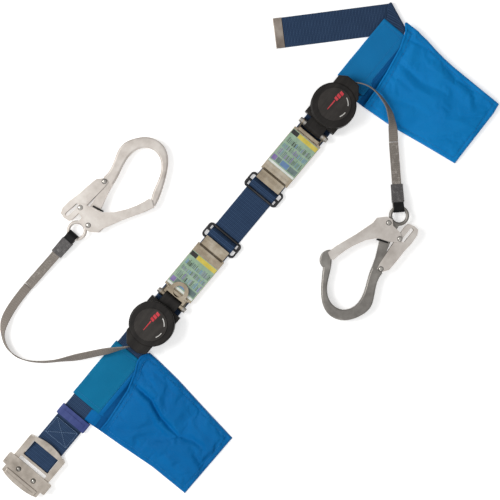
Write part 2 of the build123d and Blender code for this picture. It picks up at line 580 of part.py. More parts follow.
def pouch_front(outline):
    """The front panel and side gussets: a hollow bag, open towards the belt."""
    face = make_face(Polyline(*outline, close=True))
    bag = Pos(0, 0, POUCH_WALL) * extrude(face, POUCH_H - POUCH_WALL)
    inside = offset(face, amount=-2.0)
    hollow = Pos(0, 0, POUCH_WALL - 1) * extrude(inside, POUCH_H - 2 * POUCH_WALL + 1)
    lowest = max(y for _, y in outline)
    near, far = min(x for x, _ in outline) + 4, max(x for x, _ in outline) - 4
    mouth = box(near, far, lowest - 8, 0, 0, POUCH_H - POUCH_WALL)
    bag -= hollow
    bag -= mouth
    return bag - box(-500, 500, -29.5, 10, -1, 50)


# ---- keeper, buckle, eye ring ------------------------------------------------------------------
def belt_keeper():
    half = KEEPER_L / 2
    outer = box(KEEPER_X - half, KEEPER_X + half, -KEEPER_HALF_W, KEEPER_HALF_W, 0, KEEPER_H)
    outer = fillet(outer.edges().filter_by(Axis.X), 2.5)
    inner = box(KEEPER_X - 20, KEEPER_X + 20, -25.6, 25.6, 0.8, KEEPER_H - 2.2)
    rib = box(KEEPER_X - 2.5, KEEPER_X + 2.5, -22, 22, KEEPER_H, KEEPER_H + 0.8)
    return outer - inner + rib


def buckle_frame():
    """A plate with a web window and an open slot, with side rails below and a housing at the end."""
    top = FRAME_Z + FRAME_T
    plate = box(BUCKLE_LEFT, BUCKLE_RIGHT, -BUCKLE_HALF_W, BUCKLE_HALF_W, FRAME_Z, top)
    plate = fillet(plate.edges().filter_by(Axis.Z), 5)
    plate -= box(-541, -535, -27, 27, 0, 30)
    plate -= box(-531, -503, -26, 26, 0, 30)
    for side in (-1, 1):
        y0, y1 = sorted((side * 29.5, side * BUCKLE_HALF_W))
        plate += box(BUCKLE_LEFT + 6, BUCKLE_RIGHT - 6, y0, y1, 1.5, FRAME_Z)
        plate -= box(-558.5, -544.5, side * SLIDER_RIVET_Y - 2.9, side * SLIDER_RIVET_Y + 2.9, 0, 30)
    housing = box(BUCKLE_LEFT, -564.5, -31, 31, top, top + 2.2)
    housing = fillet(housing.edges().group_by(Axis.Z)[-1], 1.0)
    plate += housing
    plate -= box(-570.5, -568.5, -27, 27, top + 1.2, 30)
    plate &= rod_z(BUCKLE_RIGHT - BUCKLE_INNER_BOW, 0, BUCKLE_INNER_BOW, 0, 30)
    plate &= rod_z(BUCKLE_LEFT + BUCKLE_OUTER_BOW, 0, BUCKLE_OUTER_BOW, 0, 30)
    plate += rod_y(WEB_PIN_X, WEB_PIN_Z, WEB_PIN_R, -30, 30)
    return plate


def buckle_slider():
    """The release slide on top of the frame, with ears past both sides."""
    low = FRAME_Z + FRAME_T + PLAY
    body = box(-562, -541, -44, 44, low, low + 2.0)
    body = fillet(body.edges().filter_by(Axis.Z), 3)
    for side in (-1, 1):
        y0, y1 = sorted((side * (BUCKLE_HALF_W + 0.5), side * (BUCKLE_HALF_W + 2.3)))
        body += box(-558, -545, y0, y1, FRAME_Z - 1, low + 0.5)
        y0, y1 = sorted((side * 38.5, side * 42.5))
        for x in (-557.5, -553.5, -549.5, -545.5):
            body += box(x - 0.8, x + 0.8, y0, y1, low + 1.5, low + 2.6)
    return body


def slider_rivets():
    """Two rivets that hold the slide on, with a plate under the frame."""
    low = FRAME_Z + FRAME_T + PLAY
    body = box(-560, -545, -22, 22, FRAME_Z - PLAY - 1.5, FRAME_Z - PLAY)
    for side in (-1, 1):
        body += rod_z(-554.5, side * SLIDER_RIVET_Y, 2.5, FRAME_Z - PLAY - 0.5, low)
    heads = []
    for side in (-1, 1):
        head = rod_z(-554.5, side * SLIDER_RIVET_Y, 3.4, low + 2.0, low + 3.2)
        heads.append(fillet(head.edges().group_by(Axis.Z)[-1], 0.8))
    return [body] + heads


def eye_ring():
    """A flat eye hinged on the left pin, lying over the absorber; drawn on the +X side."""
    centre = PIN_X - 18.0
    low, high = 12.6, 16.0
    plate = rod_z(centre, 0, 16.0, low, high) + box(centre, PIN_X - 7.5, -16.0, 16.0, low, high)
    plate -= box(PIN_X - 7.5, PIN_X + 20, -30, 30, 0, 40)
    plate += box(PIN_X - 11.5, PIN_X - 7.5, -20.4, 20.4, low, high)
    for side in (-1, 1):
        y0, y1 = sorted((side * 16.4, side * 20.4))
        plate += box(PIN_X - 11.5, PIN_X, y0, y1, low, high)
        plate += rod_y(PIN_X, PIN_Z, 5.4, y0, y1)
    plate -= rod_z(centre, 0, 9.5, 0, 40)
    return plate - rod_y(PIN_X, PIN_Z, PIN_R + RUN, -40, 40)


# ---- write every node ------------------------------------------------------------------------
def both_sides(name, *solids):
    """Saves the right-hand piece and, turned half round, the left-hand one."""
    save(f"right_{name}", *solids)
    save(f"left_{name}", *[HALF_TURN * solid for solid in solids])


save("waist_belt", waist_belt())
save("belt_tip", belt_tip())
save("belt_keeper", belt_keeper())
save("buckle_frame", buckle_frame())
save("buckle_slider", buckle_slider(), *slider_rivets())
save("eye_ring", HALF_TURN * eye_ring())

both_sides("adjuster", adjuster())
both_sides("absorber_case", absorber_case())
both_sides("absorber_lid", absorber_lid())
both_sides("absorber_label", absorber_label())
both_sides("tear_pack", tear_pack())
save("right_hinge_pin", hinge_pin(True))
save("left_hinge_pin", HALF_TURN * hinge_pin(False))
both_sides("reel_base", reel_base())
both_sides("reel_cover", reel_cover())
both_sides("reel_badge", reel_badge())
both_sides("reel_pins", *reel_pins())
both_sides("reel_screws", *reel_screws())
both_sides("spool", spool())
both_sides("wound_webbing", wound_webbing())
both_sides("lead_webbing", lead_webbing())
both_sides("mainspring", mainspring())
both_sides("pawl", pawl())

for side, hook, angle, route, strap_z in (
    ("left", LEFT_HOOK, LEFT_STRAP_ANGLE, LEFT_ROUTE, LEFT_STRAP_Z),
    ("right", RIGHT_HOOK, RIGHT_STRAP_ANGLE, RIGHT_ROUTE, RIGHT_STRAP_Z),
):
    web, length = lanyard(route)
    print(f"{side} lanyard: free length {length:.1f} mm, webbing {LANYARD_W} x {LANYARD_T} mm")
    print(f"  volume {web.volume:.0f} mm3, section times length {length * LANYARD_W * LANYARD_T:.0f} mm3")
    print("  bend radii " + ", ".join(f"{radius:.0f}" for radius in bend_radii(route)))
    save(f"{side}_lanyard", web)
    rise = math.degrees(math.asin((strap_z - HOOK_Z) / (SEWN_LENGTH - EYE_RING_R)))
    place = strap_frame(hook, angle, rise)
    save(f"{side}_strap_loop", strap_loop(place, SEWN_LENGTH - EYE_RING_R))
    save(f"{side}_strap_sleeve", strap_sleeve(place))
    save(f"{side}_loop_guard", loop_guard(place))
    save(f"{side}_hook_body", hook * hook_body(side == "right"))
    save(f"{side}_hook_gate", hook * hook_gate())
    save(f"{side}_hook_lever", hook * hook_lever())
    save(f"{side}_hook_rivets", *[hook * rivet for rivet in hook_rivets()])
    save(f"{side}_gate_spring", hook * gate_spring())

RIGHT_PLACE = Location((RIGHT_SLEEVE[0], 0, RIGHT_RISE_Z - SLEEVE_LIFT), (0, -RIGHT_TILT, 0))
RIGHT_PLACE = RIGHT_PLACE * Location((-RIGHT_SLEEVE[0], 0, 0))
save("left_pouch_back", pouch_back(LEFT_POUCH, LEFT_SLEEVE))
save("left_pouch_front", pouch_front(LEFT_POUCH))
save("right_pouch_back", RIGHT_PLACE * pouch_back(RIGHT_POUCH, RIGHT_SLEEVE))
save("right_pouch_front", RIGHT_PLACE * pouch_front(RIGHT_POUCH))
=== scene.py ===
import bpy
import bmesh
import math
import random
from mathutils import Matrix, Vector, noise


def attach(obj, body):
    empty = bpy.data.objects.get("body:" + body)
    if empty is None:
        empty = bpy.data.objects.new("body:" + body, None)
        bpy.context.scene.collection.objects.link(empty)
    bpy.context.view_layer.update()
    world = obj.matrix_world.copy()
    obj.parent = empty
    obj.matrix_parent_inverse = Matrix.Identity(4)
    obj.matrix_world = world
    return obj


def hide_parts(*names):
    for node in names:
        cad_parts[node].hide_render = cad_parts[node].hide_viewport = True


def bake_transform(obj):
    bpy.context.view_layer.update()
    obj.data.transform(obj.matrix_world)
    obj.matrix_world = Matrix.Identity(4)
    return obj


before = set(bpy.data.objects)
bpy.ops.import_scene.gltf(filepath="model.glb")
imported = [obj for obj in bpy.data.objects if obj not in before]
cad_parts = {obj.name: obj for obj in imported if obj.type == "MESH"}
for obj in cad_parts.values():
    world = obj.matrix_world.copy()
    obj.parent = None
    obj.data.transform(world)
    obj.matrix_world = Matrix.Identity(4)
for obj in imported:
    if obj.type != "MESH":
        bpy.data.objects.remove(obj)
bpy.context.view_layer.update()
MM = 0.001


# ---- camera ----
def add_object(name, data):
    obj = bpy.data.objects.new(name, data)
    bpy.context.scene.collection.objects.link(obj)
    return obj


VIEW_CENTRE = (-36.6, -46.1)  # in plan, millimetres
VIEW_UP = (0.768, 0.640)  # the photo's upward direction, in plan
VIEW_WIDTH, VIEW_LEVEL = 0.82, 0.012  # metres seen across, at this height


def set_camera():
    """Straight above, turned so that the belt runs from the lower left to the upper right."""
    data = bpy.data.cameras.new("camera")
    data.sensor_width = 36.0
    data.lens = 100.0
    data.clip_start = 0.05
    cam = add_object("camera", data)
    centre = Vector((VIEW_CENTRE[0] * MM, VIEW_CENTRE[1] * MM, 0.0))
    up = Vector((VIEW_UP[0], VIEW_UP[1], 0.0)).normalized()
    right = Vector((VIEW_UP[1], -VIEW_UP[0], 0.0)).normalized()
    back = Vector((0, 0, 1))
    turn = Matrix((right, up, back)).transposed().to_4x4()
    distance = VIEW_WIDTH * data.lens / data.sensor_width + VIEW_LEVEL
    cam.matrix_world = Matrix.Translation(centre + back * distance) @ turn
    bpy.context.scene.camera = cam


set_camera()


# ---- materials ----
def fill_ramp(ramp, stops):
    while len(ramp.elements) < len(stops):
        ramp.elements.new(0.5)
    for element, (at, color) in zip(ramp.elements, stops):
        element.position = at
        element.color = (*color, 1)


class Shade:
    """A small helper for building one node material."""

    def __init__(self, name, color=(0.5, 0.5, 0.5), rough=0.5, metal=0.0, **extra):
        self.mat = bpy.data.materials.new(name)
        self.mat.use_nodes = True
        self.nt = self.mat.node_tree
        self.bsdf = self.nt.nodes["Principled BSDF"]
        self.bsdf.inputs["Base Color"].default_value = (*color, 1)
        self.bsdf.inputs["Roughness"].default_value = rough
        self.bsdf.inputs["Metallic"].default_value = metal
        for key, value in extra.items():
            self.bsdf.inputs[key.replace("_", " ")].default_value = value
        self.bump_last = None

    def node(self, kind, **values):
        made = self.nt.nodes.new(kind)
        for key, value in values.items():
            if hasattr(made, key):
                setattr(made, key, value)
            else:
                made.inputs[key.replace("_", " ")].default_value = value
        return made

    def link(self, a, b):
        self.nt.links.new(a, b)

    def coords(self, scale=(1, 1, 1), turn=(0, 0, 0), uv=None):
        """Object coordinates in millimetres, or a UV map in millimetres, scaled and turned."""
        if uv:
            source = self.node("ShaderNodeUVMap", uv_map=uv).outputs["UV"]
            factor = 1.0
        else:
            source = self.node("ShaderNodeTexCoord").outputs["Object"]
            factor = 1000.0
        angles = [math.radians(t) for t in turn]
        mapping = self.node("ShaderNodeMapping", Scale=[factor * s for s in scale], Rotation=angles)
        self.link(source, mapping.inputs["Vector"])
        return mapping.outputs["Vector"]

    def noise(self, vector, scale=1.0, detail=4.0, rough=0.55):
        made = self.node("ShaderNodeTexNoise", Scale=scale, Detail=detail, Roughness=rough)
        self.link(vector, made.inputs["Vector"])
        return made.outputs["Fac"]

    def wave(self, vector, axis, period):
        """A sine stripe of that period in millimetres along an axis."""
        made = self.node("ShaderNodeTexWave", wave_type="BANDS", bands_direction=axis, wave_profile="SIN")
        made.inputs["Scale"].default_value = math.pi / 10.0 / period
        self.link(vector, made.inputs["Vector"])
        return made.outputs["Fac"]

    def math(self, op, a, b, clamp=False):
        made = self.node("ShaderNodeMath", operation=op, use_clamp=clamp)
        for slot, value in enumerate((a, b)):
            if isinstance(value, (int, float)):
                made.inputs[slot].default_value = value
            else:
                self.link(value, made.inputs[slot])
        return made.outputs[0]

    def times(self, a, b, clamp=False):
        return self.math("MULTIPLY", a, b, clamp)

    def ramp(self, fac, *stops):
        made = self.node("ShaderNodeValToRGB")
        fill_ramp(made.color_ramp, stops)
        self.link(fac, made.inputs["Fac"])
        return made.outputs["Color"]

    def mix(self, fac, a, b):
        made = self.node("ShaderNodeMix", data_type="RGBA")
        if isinstance(fac, (int, float)):
            made.inputs["Factor"].default_value = fac
        else:
            self.link(fac, made.inputs["Factor"])
        for name, value in (("A", a), ("B", b)):
            socket = [s for s in made.inputs if s.name == name and s.type == "RGBA"][0]
            if isinstance(value, tuple):
                socket.default_value = (*value, 1)
            else:
                self.link(value, socket)
        return [s for s in made.outputs if s.type == "RGBA"][0]

    def color(self, out):
        self.link(out, self.bsdf.inputs["Base Color"])

    def rough(self, fac, low, high):
        made = self.node("ShaderNodeMapRange", To_Min=low, To_Max=high)
        self.link(fac, made.inputs["Value"])
        self.link(made.outputs["Result"], self.bsdf.inputs["Roughness"])

    def bump(self, height, distance_mm, strength=1.0):
        made = self.node("ShaderNodeBump", Strength=strength, Distance=distance_mm * MM)
        self.link(height, made.inputs["Height"])
        if self.bump_last is not None:
            self.link(self.bump_last, made.inputs["Normal"])
        self.bump_last = made.outputs["Normal"]
        self.link(self.bump_last, self.bsdf.inputs["Normal"])


def lin(*colours):
    """8-bit screen colours as linear values."""
    shares = [[v / 255 for v in colour] for colour in colours]
    return [tuple(v / 12.92 if v <= 0.04045 else ((v + 0.055) / 1.055) ** 2.4 for v in c) for c in shares]


def webbing(name, base, dark, light, rib=2.2, yarn=0.9, uv="uv", depth=0.35, turn=0.0, flecks=0.0):
    """Woven strap: ribs across the length, yarns along it, with painted shade in the gaps and painted
    highlight on the crests.
    """
    base, dark, light = lin(base, dark, light)
    s = Shade(name, base, 0.82, Specular_IOR_Level=0.14)
    v = s.coords(uv=uv, turn=(0, 0, turn))
    across = s.wave(v, "X", rib)
    along = s.wave(v, "Y", yarn)
    twill = s.wave(s.coords(uv=uv, turn=(0, 0, turn + 38)), "X", rib * 0.8)
    ribs = s.math("ADD", s.times(across, 0.6), s.times(twill, 0.4))
    weave = s.times(ribs, s.math("ADD", s.times(along, 0.5), 0.5))
    patch = s.noise(v, 0.05, 3)
    fuzz = s.noise(v, 1.6, 3)
    # the weave's height sets the tone: painted shade in the low gaps, painted highlight on the raised crests
    tone = s.ramp(weave, (0.05, dark), (0.45, base), (0.95, light))
    tone = s.mix(s.times(s.math("SUBTRACT", patch, 0.35), 0.5, clamp=True), tone, dark)
    tone = s.mix(s.times(fuzz, 0.12), tone, light)
    cord_rib = s.wave(v, "X", rib * 2.2)
    tone = s.mix(s.times(cord_rib, 0.22), tone, dark)
    if flecks:
        # lighter flecks over the weave: on the sleeve they are painted highlight for its gloss; on the
        # lanyards they are lighter speckles
        light_flecks = s.times(s.math("SUBTRACT", s.noise(v, 0.22, 5, 0.7), 0.52), 6.0, clamp=True)
        tone = s.mix(s.times(light_flecks, flecks), tone, light)
    s.color(tone)
    s.rough(fuzz, 0.7, 0.95)
    s.bump(weave, depth)
    s.bump(fuzz, 0.08)
    return s.mat


def nylon(name, base, dark, light):
    """Coated nylon cloth with a fine plain weave and a slight sheen."""
    base, dark, light = lin(base, dark, light)
    s = Shade(name, base, 0.42, Specular_IOR_Level=0.09)
    v = s.coords()
    weave = s.times(s.wave(v, "X", 0.55), s.wave(v, "Y", 0.55))
    soft = s.noise(v, 0.018, 2)
    crinkle = s.noise(v, 0.11, 5, 0.6)
    tone = s.ramp(soft, (0.1, dark), (0.5, base), (0.9, light))
    tone = s.mix(s.times(crinkle, 0.25), tone, base)
    tone = s.mix(s.times(weave, 0.12), tone, dark)
    s.color(tone)
    s.rough(crinkle, 0.34, 0.52)
    s.bump(crinkle, 0.9, 0.5)
    s.bump(weave, 0.12)
    return s.mat


def plastic(name, base, light, grain, rough=(0.38, 0.55)):
    """Moulded plastic with a fine textured skin and slight scuffs."""
    base, light = lin(base, light)
    s = Shade(name, base, 0.45, Specular_IOR_Level=0.2)
    v = s.coords()
    skin = s.noise(v, grain, 3)
    scuff = s.noise(s.coords(scale=(0.02, 0.12, 0.05), turn=(0, 0, 20)), 1.0, 6, 0.7)
    dust = s.noise(v, 0.06, 3)
    wear = s.math("ADD", s.times(scuff, 0.7), s.times(dust, 0.3))
    s.color(s.ramp(wear, (0.42, base), (0.8, light)))
    s.rough(scuff, *rough)
    s.bump(skin, 0.06)
    return s.mat


def metal(name, base, light, dark, rough, brush, turn=0.0, depth=0.02, metallic=1.0, **extra):
    """Brushed or tumbled metal: fine lines along one direction, cloudy tone, worn patches."""
    base, dark, light = lin(base, dark, light)
    s = Shade(name, base, 0.3, metallic, **extra)
    lines = s.noise(s.coords(scale=brush, turn=(0, 0, turn)), 1.0, 5, 0.65)
    cloud = s.noise(s.coords(), 0.035, 4, 0.6)
    spots = s.noise(s.coords(), 0.6, 4, 0.6)
    tone = s.ramp(cloud, (0.3, dark), (0.52, base), (0.75, light))
    tone = s.mix(s.times(lines, 0.3), tone, light)
    s.color(tone)
    s.rough(s.math("ADD", s.times(lines, 0.7), s.times(spots, 0.3)), *rough)
    s.bump(lines, depth)
    s.bump(spots, depth * 1.5)
    return s.mat


def printed(name, base, light):
    """Smooth printed or enamelled colour, a little cloudy."""
    base, light = lin(base, light)
    s = Shade(name, base, 0.35, Coat_Weight=0.3, Coat_Roughness=0.15)
    v = s.coords()
    cloud = s.noise(v, 0.12, 4)
    s.color(s.ramp(cloud, (0.35, base), (0.75, light)))
    s.rough(cloud, 0.25, 0.42)
    s.bump(s.noise(v, 0.8, 3), 0.03)
    return s.mat


FINE = {"rib": 1.6, "yarn": 0.8}
M = {
    "belt": webbing("belt_weave", (46, 68, 100), (21, 37, 61), (84, 111, 146), rib=2.4, yarn=1.1),
    "tear": webbing("tear_weave", (200, 196, 184), (150, 146, 134), (225, 222, 212), uv=None),
    "lanyard": webbing("lanyard_weave", (150, 141, 133), (102, 95, 89), (192, 184, 176), **FINE),
    "lanyard_plain": webbing(
        "lanyard_weave_plain", (146, 138, 130), (98, 92, 86), (202, 194, 186),
        uv=None, turn=1.7, flecks=0.5, **FINE,
    ),
    "lanyard_slant": webbing(
        "lanyard_weave_slant", (146, 138, 130), (98, 92, 86), (206, 198, 190),
        uv=None, turn=-44.1, flecks=0.8, **FINE,
    ),
    "sleeve": webbing(
        "sleeve_weave", (92, 90, 90), (62, 60, 60), (150, 148, 148),
        rib=1.0, yarn=1.0, uv=None, depth=0.12, flecks=0.7,
    ),
    "left_pouch": nylon("left_pouch_nylon", (4, 107, 174), (2, 96, 162), (10, 118, 186)),
    "right_pouch": nylon("right_pouch_nylon", (10, 130, 203), (4, 121, 193), (20, 140, 212)),
    "left_sleeve": nylon("left_sleeve_nylon", (8, 114, 158), (4, 104, 147), (16, 124, 169)),
    "right_sleeve": nylon("right_sleeve_nylon", (18, 122, 184), (12, 112, 172), (28, 132, 194)),
    # painted shade: a darker blue that stands for the shade inside the pouch mouth
    "pouch_painted_shade": nylon("pouch_painted_shade", (4, 88, 150), (2, 78, 138), (10, 98, 162)),
    "keeper": plastic("keeper_plastic", (56, 68, 124), (84, 96, 150), 1.4),
    "reel": plastic("reel_plastic", (30, 28, 27), (52, 49, 46), 2.4),
    "badge": plastic("badge_plastic", (48, 45, 43), (70, 66, 63), 3.0, (0.5, 0.65)),
    "guard": plastic("guard_rubber", (16, 16, 17), (34, 34, 36), 1.2, (0.5, 0.7)),
    "steel": metal(
        "case_steel", (190, 174, 150), (230, 220, 202), (140, 122, 100), (0.16, 0.3), (0.05, 2.5, 0.4)
    ),
    "chrome": metal(
        "bright_steel", (188, 184, 178), (214, 210, 204), (146, 141, 135), (0.2, 0.34), (1.2, 1.2, 1.2),
        metallic=0.8,
    ),
    "spring": metal(
        "spring_steel", (130, 130, 135), (170, 170, 175), (95, 95, 100), (0.2, 0.4), (1.0, 1.0, 1.0)
    ),
    "adjuster": metal(
        "adjuster_black", (26, 26, 28), (60, 60, 64), (14, 14, 15), (0.16, 0.34), (0.5, 0.5, 0.5),
        metallic=0.35, Coat_Weight=0.5, Coat_Roughness=0.12,
    ),
    "hook_light": metal(
        "hook_silver", (206, 198, 191), (226, 220, 214), (182, 173, 165), (0.36, 0.52), (0.6, 0.6, 0.6),
        depth=0.05, metallic=0.35,
    ),
    "hook_dark": metal(
        "hook_grey", (140, 136, 131), (168, 164, 158), (108, 104, 100), (0.32, 0.46), (0.6, 0.6, 0.6),
        depth=0.05, metallic=0.6,
    ),
    "hook_plate": metal(
        "hook_plate_steel", (210, 202, 195), (230, 225, 219), (184, 175, 167), (0.3, 0.46), (0.1, 2.2, 0.5),
        metallic=0.4,
    ),
    "buckle": metal(
        "buckle_alloy", (184, 174, 163), (212, 204, 194), (146, 136, 125), (0.26, 0.42), (0.4, 0.4, 0.4),
        depth=0.05, metallic=0.65,
    ),
    "tip": metal(
        "tip_metal", (150, 138, 128), (190, 180, 170), (112, 101, 93), (0.28, 0.5), (0.3, 2.0, 0.5), turn=45.0
    ),
    "label": printed("label_green", (138, 168, 140), (164, 190, 166)),
}
for look, base, light in (
    ("print_white", (214, 220, 214), (236, 238, 234)),
    ("print_yellow", (206, 186, 66), (222, 204, 96)),
    ("print_black", (28, 28, 26), (52, 52, 48)),
    ("print_grey", (92, 112, 112), (120, 138, 136)),
    ("print_blue", (92, 126, 170), (120, 150, 190)),
    ("print_purple", (120, 100, 160), (146, 128, 182)),
    ("mark_red", (196, 28, 46), (216, 60, 72)),
    ("mark_white", (214, 212, 208), (234, 232, 228)),
):
    M[look] = printed(look, base, light)
for look, base, dark, light in (
    ("thread_blue", (112, 136, 168), (84, 108, 142), (150, 172, 200)),
    ("thread_grey", (150, 146, 142), (110, 106, 102), (190, 186, 182)),
    ("thread_pouch", (52, 136, 200), (20, 104, 170), (96, 168, 220)),
):
    M[look] = webbing(look, base, dark, light, uv=None, rib=0.6, yarn=0.6)

# the CAD nodes that keep their shape, without left_ or right_, under the material that they wear
LOOKS = {
    "tip": "belt_tip",
    "buckle": "buckle_frame buckle_slider",
    "keeper": "belt_keeper",
    "steel": "eye_ring absorber_case absorber_lid",
    "adjuster": "adjuster",
    "label": "absorber_label",
    "tear": "tear_pack",
    "chrome": "hinge_pin reel_pins reel_screws hook_rivets",
    "sleeve": "strap_sleeve",
    "guard": "loop_guard",
    "reel": "reel_base reel_cover spool",
    "badge": "reel_badge",
    "lanyard_plain": "lead_webbing wound_webbing",
    "spring": "mainspring pawl gate_spring",
    "hook_plate": "hook_gate hook_lever",
}
NODE_LOOK = {node: look for look, nodes in LOOKS.items() for node in nodes.split()}


def dress_nodes():
    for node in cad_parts:
        name = node if isinstance(node, str) else node["name"]
        plain = name.split("_", 1)[1] if name.startswith(("left_", "right_")) else name
        look = NODE_LOOK.get(plain)
        if plain == "hook_body":
            look = "hook_light" if name.startswith("left") else "hook_dark"
        if plain == "strap_loop":
            look = "lanyard_plain" if name.startswith("left") else "lanyard_slant"
        if look is None:
            continue
        data = bpy.data.objects[name].data
        data.materials.clear()
        data.materials.append(M[look])


dress_nodes()


# ---- mesh helpers ----
def make(name, verts_mm, faces, mat, body, smooth=True, uvs=None, mats=None, face_mats=None):
    """A mesh piece from millimetre points; uvs holds one (u, v) per vertex, in millimetres."""
    mesh = bpy.data.meshes.new(name)
    mesh.from_pydata([Vector(v) * MM for v in verts_mm], [], faces)
    for m in mats or [mat]:
        mesh.materials.append(M[m])
    if face_mats:
        mesh.polygons.foreach_set("material_index", face_mats)
    mesh.polygons.foreach_set("use_smooth", [smooth] * len(mesh.polygons))
    if uvs:
        layer = mesh.uv_layers.new(name="uv")
        for loop in mesh.loops:
            layer.data[loop.index].uv = uvs[loop.vertex_index]
    obj = add_object(name, mesh)
    tidy = bmesh.new()
    tidy.from_mesh(mesh)
    bmesh.ops.recalc_face_normals(tidy, faces=tidy.faces)
    tidy.to_mesh(mesh)
    tidy.free()
    if body:
        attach(obj, body)
    return obj


EDGE_STEPS = 4


def band_section(width, thick, cells=10):
    """Points (v, w) round a flat strap with rounded edges: v across, w through."""
    half, r = width / 2, thick / 2
    points = []
    for k in range(cells + 1):
        points.append((-half + r + (width - thick) * k / cells, r))
    for k in range(1, EDGE_STEPS):
        a = math.pi / 2 - math.pi * k / EDGE_STEPS
        points.append((half - r + r * math.cos(a), r * math.sin(a)))
    for k in range(cells + 1):
        points.append((half - r - (width - thick) * k / cells, -r))
    for k in range(1, EDGE_STEPS):
        a = -math.pi / 2 - math.pi * k / EDGE_STEPS
        points.append((-half + r + r * math.cos(a), r * math.sin(a)))
    return points


def ring_faces(count, n, base=0):
    """Faces between that many rings of n points each, closed round each ring."""
    faces = []
    for i in range(count - 1):
        low, high = base + i * n, base + (i + 1) * n
        for j in range(n):
            k = (j + 1) % n
            faces.append((low + j, low + k, high + k, high + j))
    return faces


def loft(name, rings, mat, body, uv_rings=None):
    """A skin over rings of equal length, closed round each ring and at both ends."""
    n = len(rings[0])
    verts = [p for ring in rings for p in ring]
    uvs = [p for ring in uv_rings for p in ring] if uv_rings else None
    faces = ring_faces(len(rings), n)
    faces.append(tuple(range(n)))
    faces.append(tuple(range((len(rings) - 1) * n, len(rings) * n)))
    return make(name, verts, faces, mat, body, True, uvs)


def stitches(name, lines, mat, body, pitch=3.2, size=0.45, lift=0.15):
    """Raised stitches along polylines of (x, y, z) in millimetres."""
    verts, faces = [], []
    for line in lines:
        for a, b in zip(line, line[1:]):
            a, b = Vector(a), Vector(b)
            run = (b - a).length
            count = max(1, int(run / pitch))
            along = (b - a).normalized()
            side = along.cross(Vector((0, 0, 1))).normalized()
            up = side.cross(along)
            for k in range(count):
                centre = a + along * (run * (k + 0.5) / count) + up * lift
                half = run / count * 0.38
                base = len(verts)
                for t, grow in ((-half, 0.35), (-half * 0.6, 1.0), (half * 0.6, 1.0), (half, 0.35)):
                    for q in range(6):
                        angle = math.pi * 2 * q / 6
                        out = side * math.cos(angle) + up * math.sin(angle) * 0.7
                        verts.append(centre + along * t + out * size * grow)
                faces += ring_faces(4, 6, base)
                faces.append(tuple(base + q for q in range(6)))
                faces.append(tuple(base + 18 + q for q in range(6)))
    return make(name, verts, faces, mat, body)


def heading(line, i):
    """The direction of a line at its point i."""
    return (line[min(i + 1, len(line) - 1)] - line[max(i - 1, 0)]).normalized()


def smooth_keys(keys, s):
    """A value between (place, value) keys, eased."""
    if s <= keys[0][0]:
        return keys[0][1]
    for (s0, v0), (s1, v1) in zip(keys, keys[1:]):
        if s <= s1:
            t = (s - s0) / (s1 - s0)
            return v0 + (v1 - v0) * t * t * (3 - 2 * t)
    return keys[-1][1]


# ---- lanyard webbing ----
LEFT_ROUTE = [(-284.3, 4.6, 20.4), (-320.7, 34.1, 18.5), (-362.0, 66.0, 12.0), (-398.0, 98.0, 8.6)]
LEFT_ROUTE += [(-418.0, 131.0, 8.3), (-416.0, 163.0, 8.3), (-394.0, 187.0, 8.3), (-354.0, 196.2, 6.4)]
LEFT_ROUTE += [(-315.5, 196.3, 4.4)]
RIGHT_ROUTE = [(284.3, -4.6, 20.4), (294.0, -18.0, 20.6), (294.5, -45.0, 21.0), (286.0, -74.0, 21.2)]
RIGHT_ROUTE += [(267.5, -98.0, 16.5), (250.8, -113.2, 9.9)]


def nurbs_line(name, route):
    """The smooth line of a route, as points in millimetres."""
    curve = bpy.data.curves.new(name, "CURVE")
    curve.dimensions = "3D"
    spline = curve.splines.new("NURBS")
    spline.points.add(len(route) - 1)
    for point, at in zip(spline.points, route):
        point.co = (*[c * MM for c in at], 1)
    spline.order_u = 3
    spline.use_endpoint_u = True
    spline.resolution_u = 16
    holder = add_object(name, curve)
    mesh = bpy.data.meshes.new_from_object(holder)
    points = [Vector(v.co) / MM for v in mesh.vertices]
    bpy.data.objects.remove(holder)
    return points


def ribbon(name, line, width, thick, tilt_keys, mat):
    """A strap that follows a line; tilt is 0 on edge and 90 lying flat."""
    section = band_section(width, thick)
    rings, uv_rings = [], []
    travelled = 0.0
    for i, at in enumerate(line):
        if i:
            travelled += (at - line[i - 1]).length
        along = heading(line, i)
        level = along.cross(Vector((0, 0, 1))).normalized()
        rise = level.cross(along)
        tilt = math.radians(smooth_keys(tilt_keys, travelled))
        across = rise * math.cos(tilt) + level * math.sin(tilt)
        through = across.cross(along)
        rings.append([at + across * v + through * w for v, w in section])
        uv_rings.append([(travelled, v) for v, w in section])
    obj = loft(name, rings, mat, None, uv_rings)
    return obj, travelled


STRAP_W, STRAP_T = 15.0, 1.8
# how far the strap has turned from on edge towards flat, in degrees, at these lengths along it
LEFT_TURN = [(0, 8), (45, 48), (80, 50), (130, 14), (190, 6), (225, 22), (275, 90), (400, 90)]
RIGHT_TURN = [(0, 4), (30, 12), (60, 24), (88, 50), (112, 90), (150, 90)]


def lanyards():
    """The two free lengths, each from its reel to its sewn end, on edge first and then lying flat."""
    for side, route, keys, bend_end in (
        ("left", LEFT_ROUTE, LEFT_TURN, (-0.415, 0.125, 0.0083)),
        ("right", RIGHT_ROUTE, RIGHT_TURN, (0.262, -0.103, 0.014)),
    ):
        line = nurbs_line(f"{side}_route", route)
        piece, length = ribbon(f"{side}_lanyard_web", line, STRAP_W, STRAP_T, keys, "lanyard")
        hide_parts(f"{side}_lanyard")
        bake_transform(piece)


lanyards()


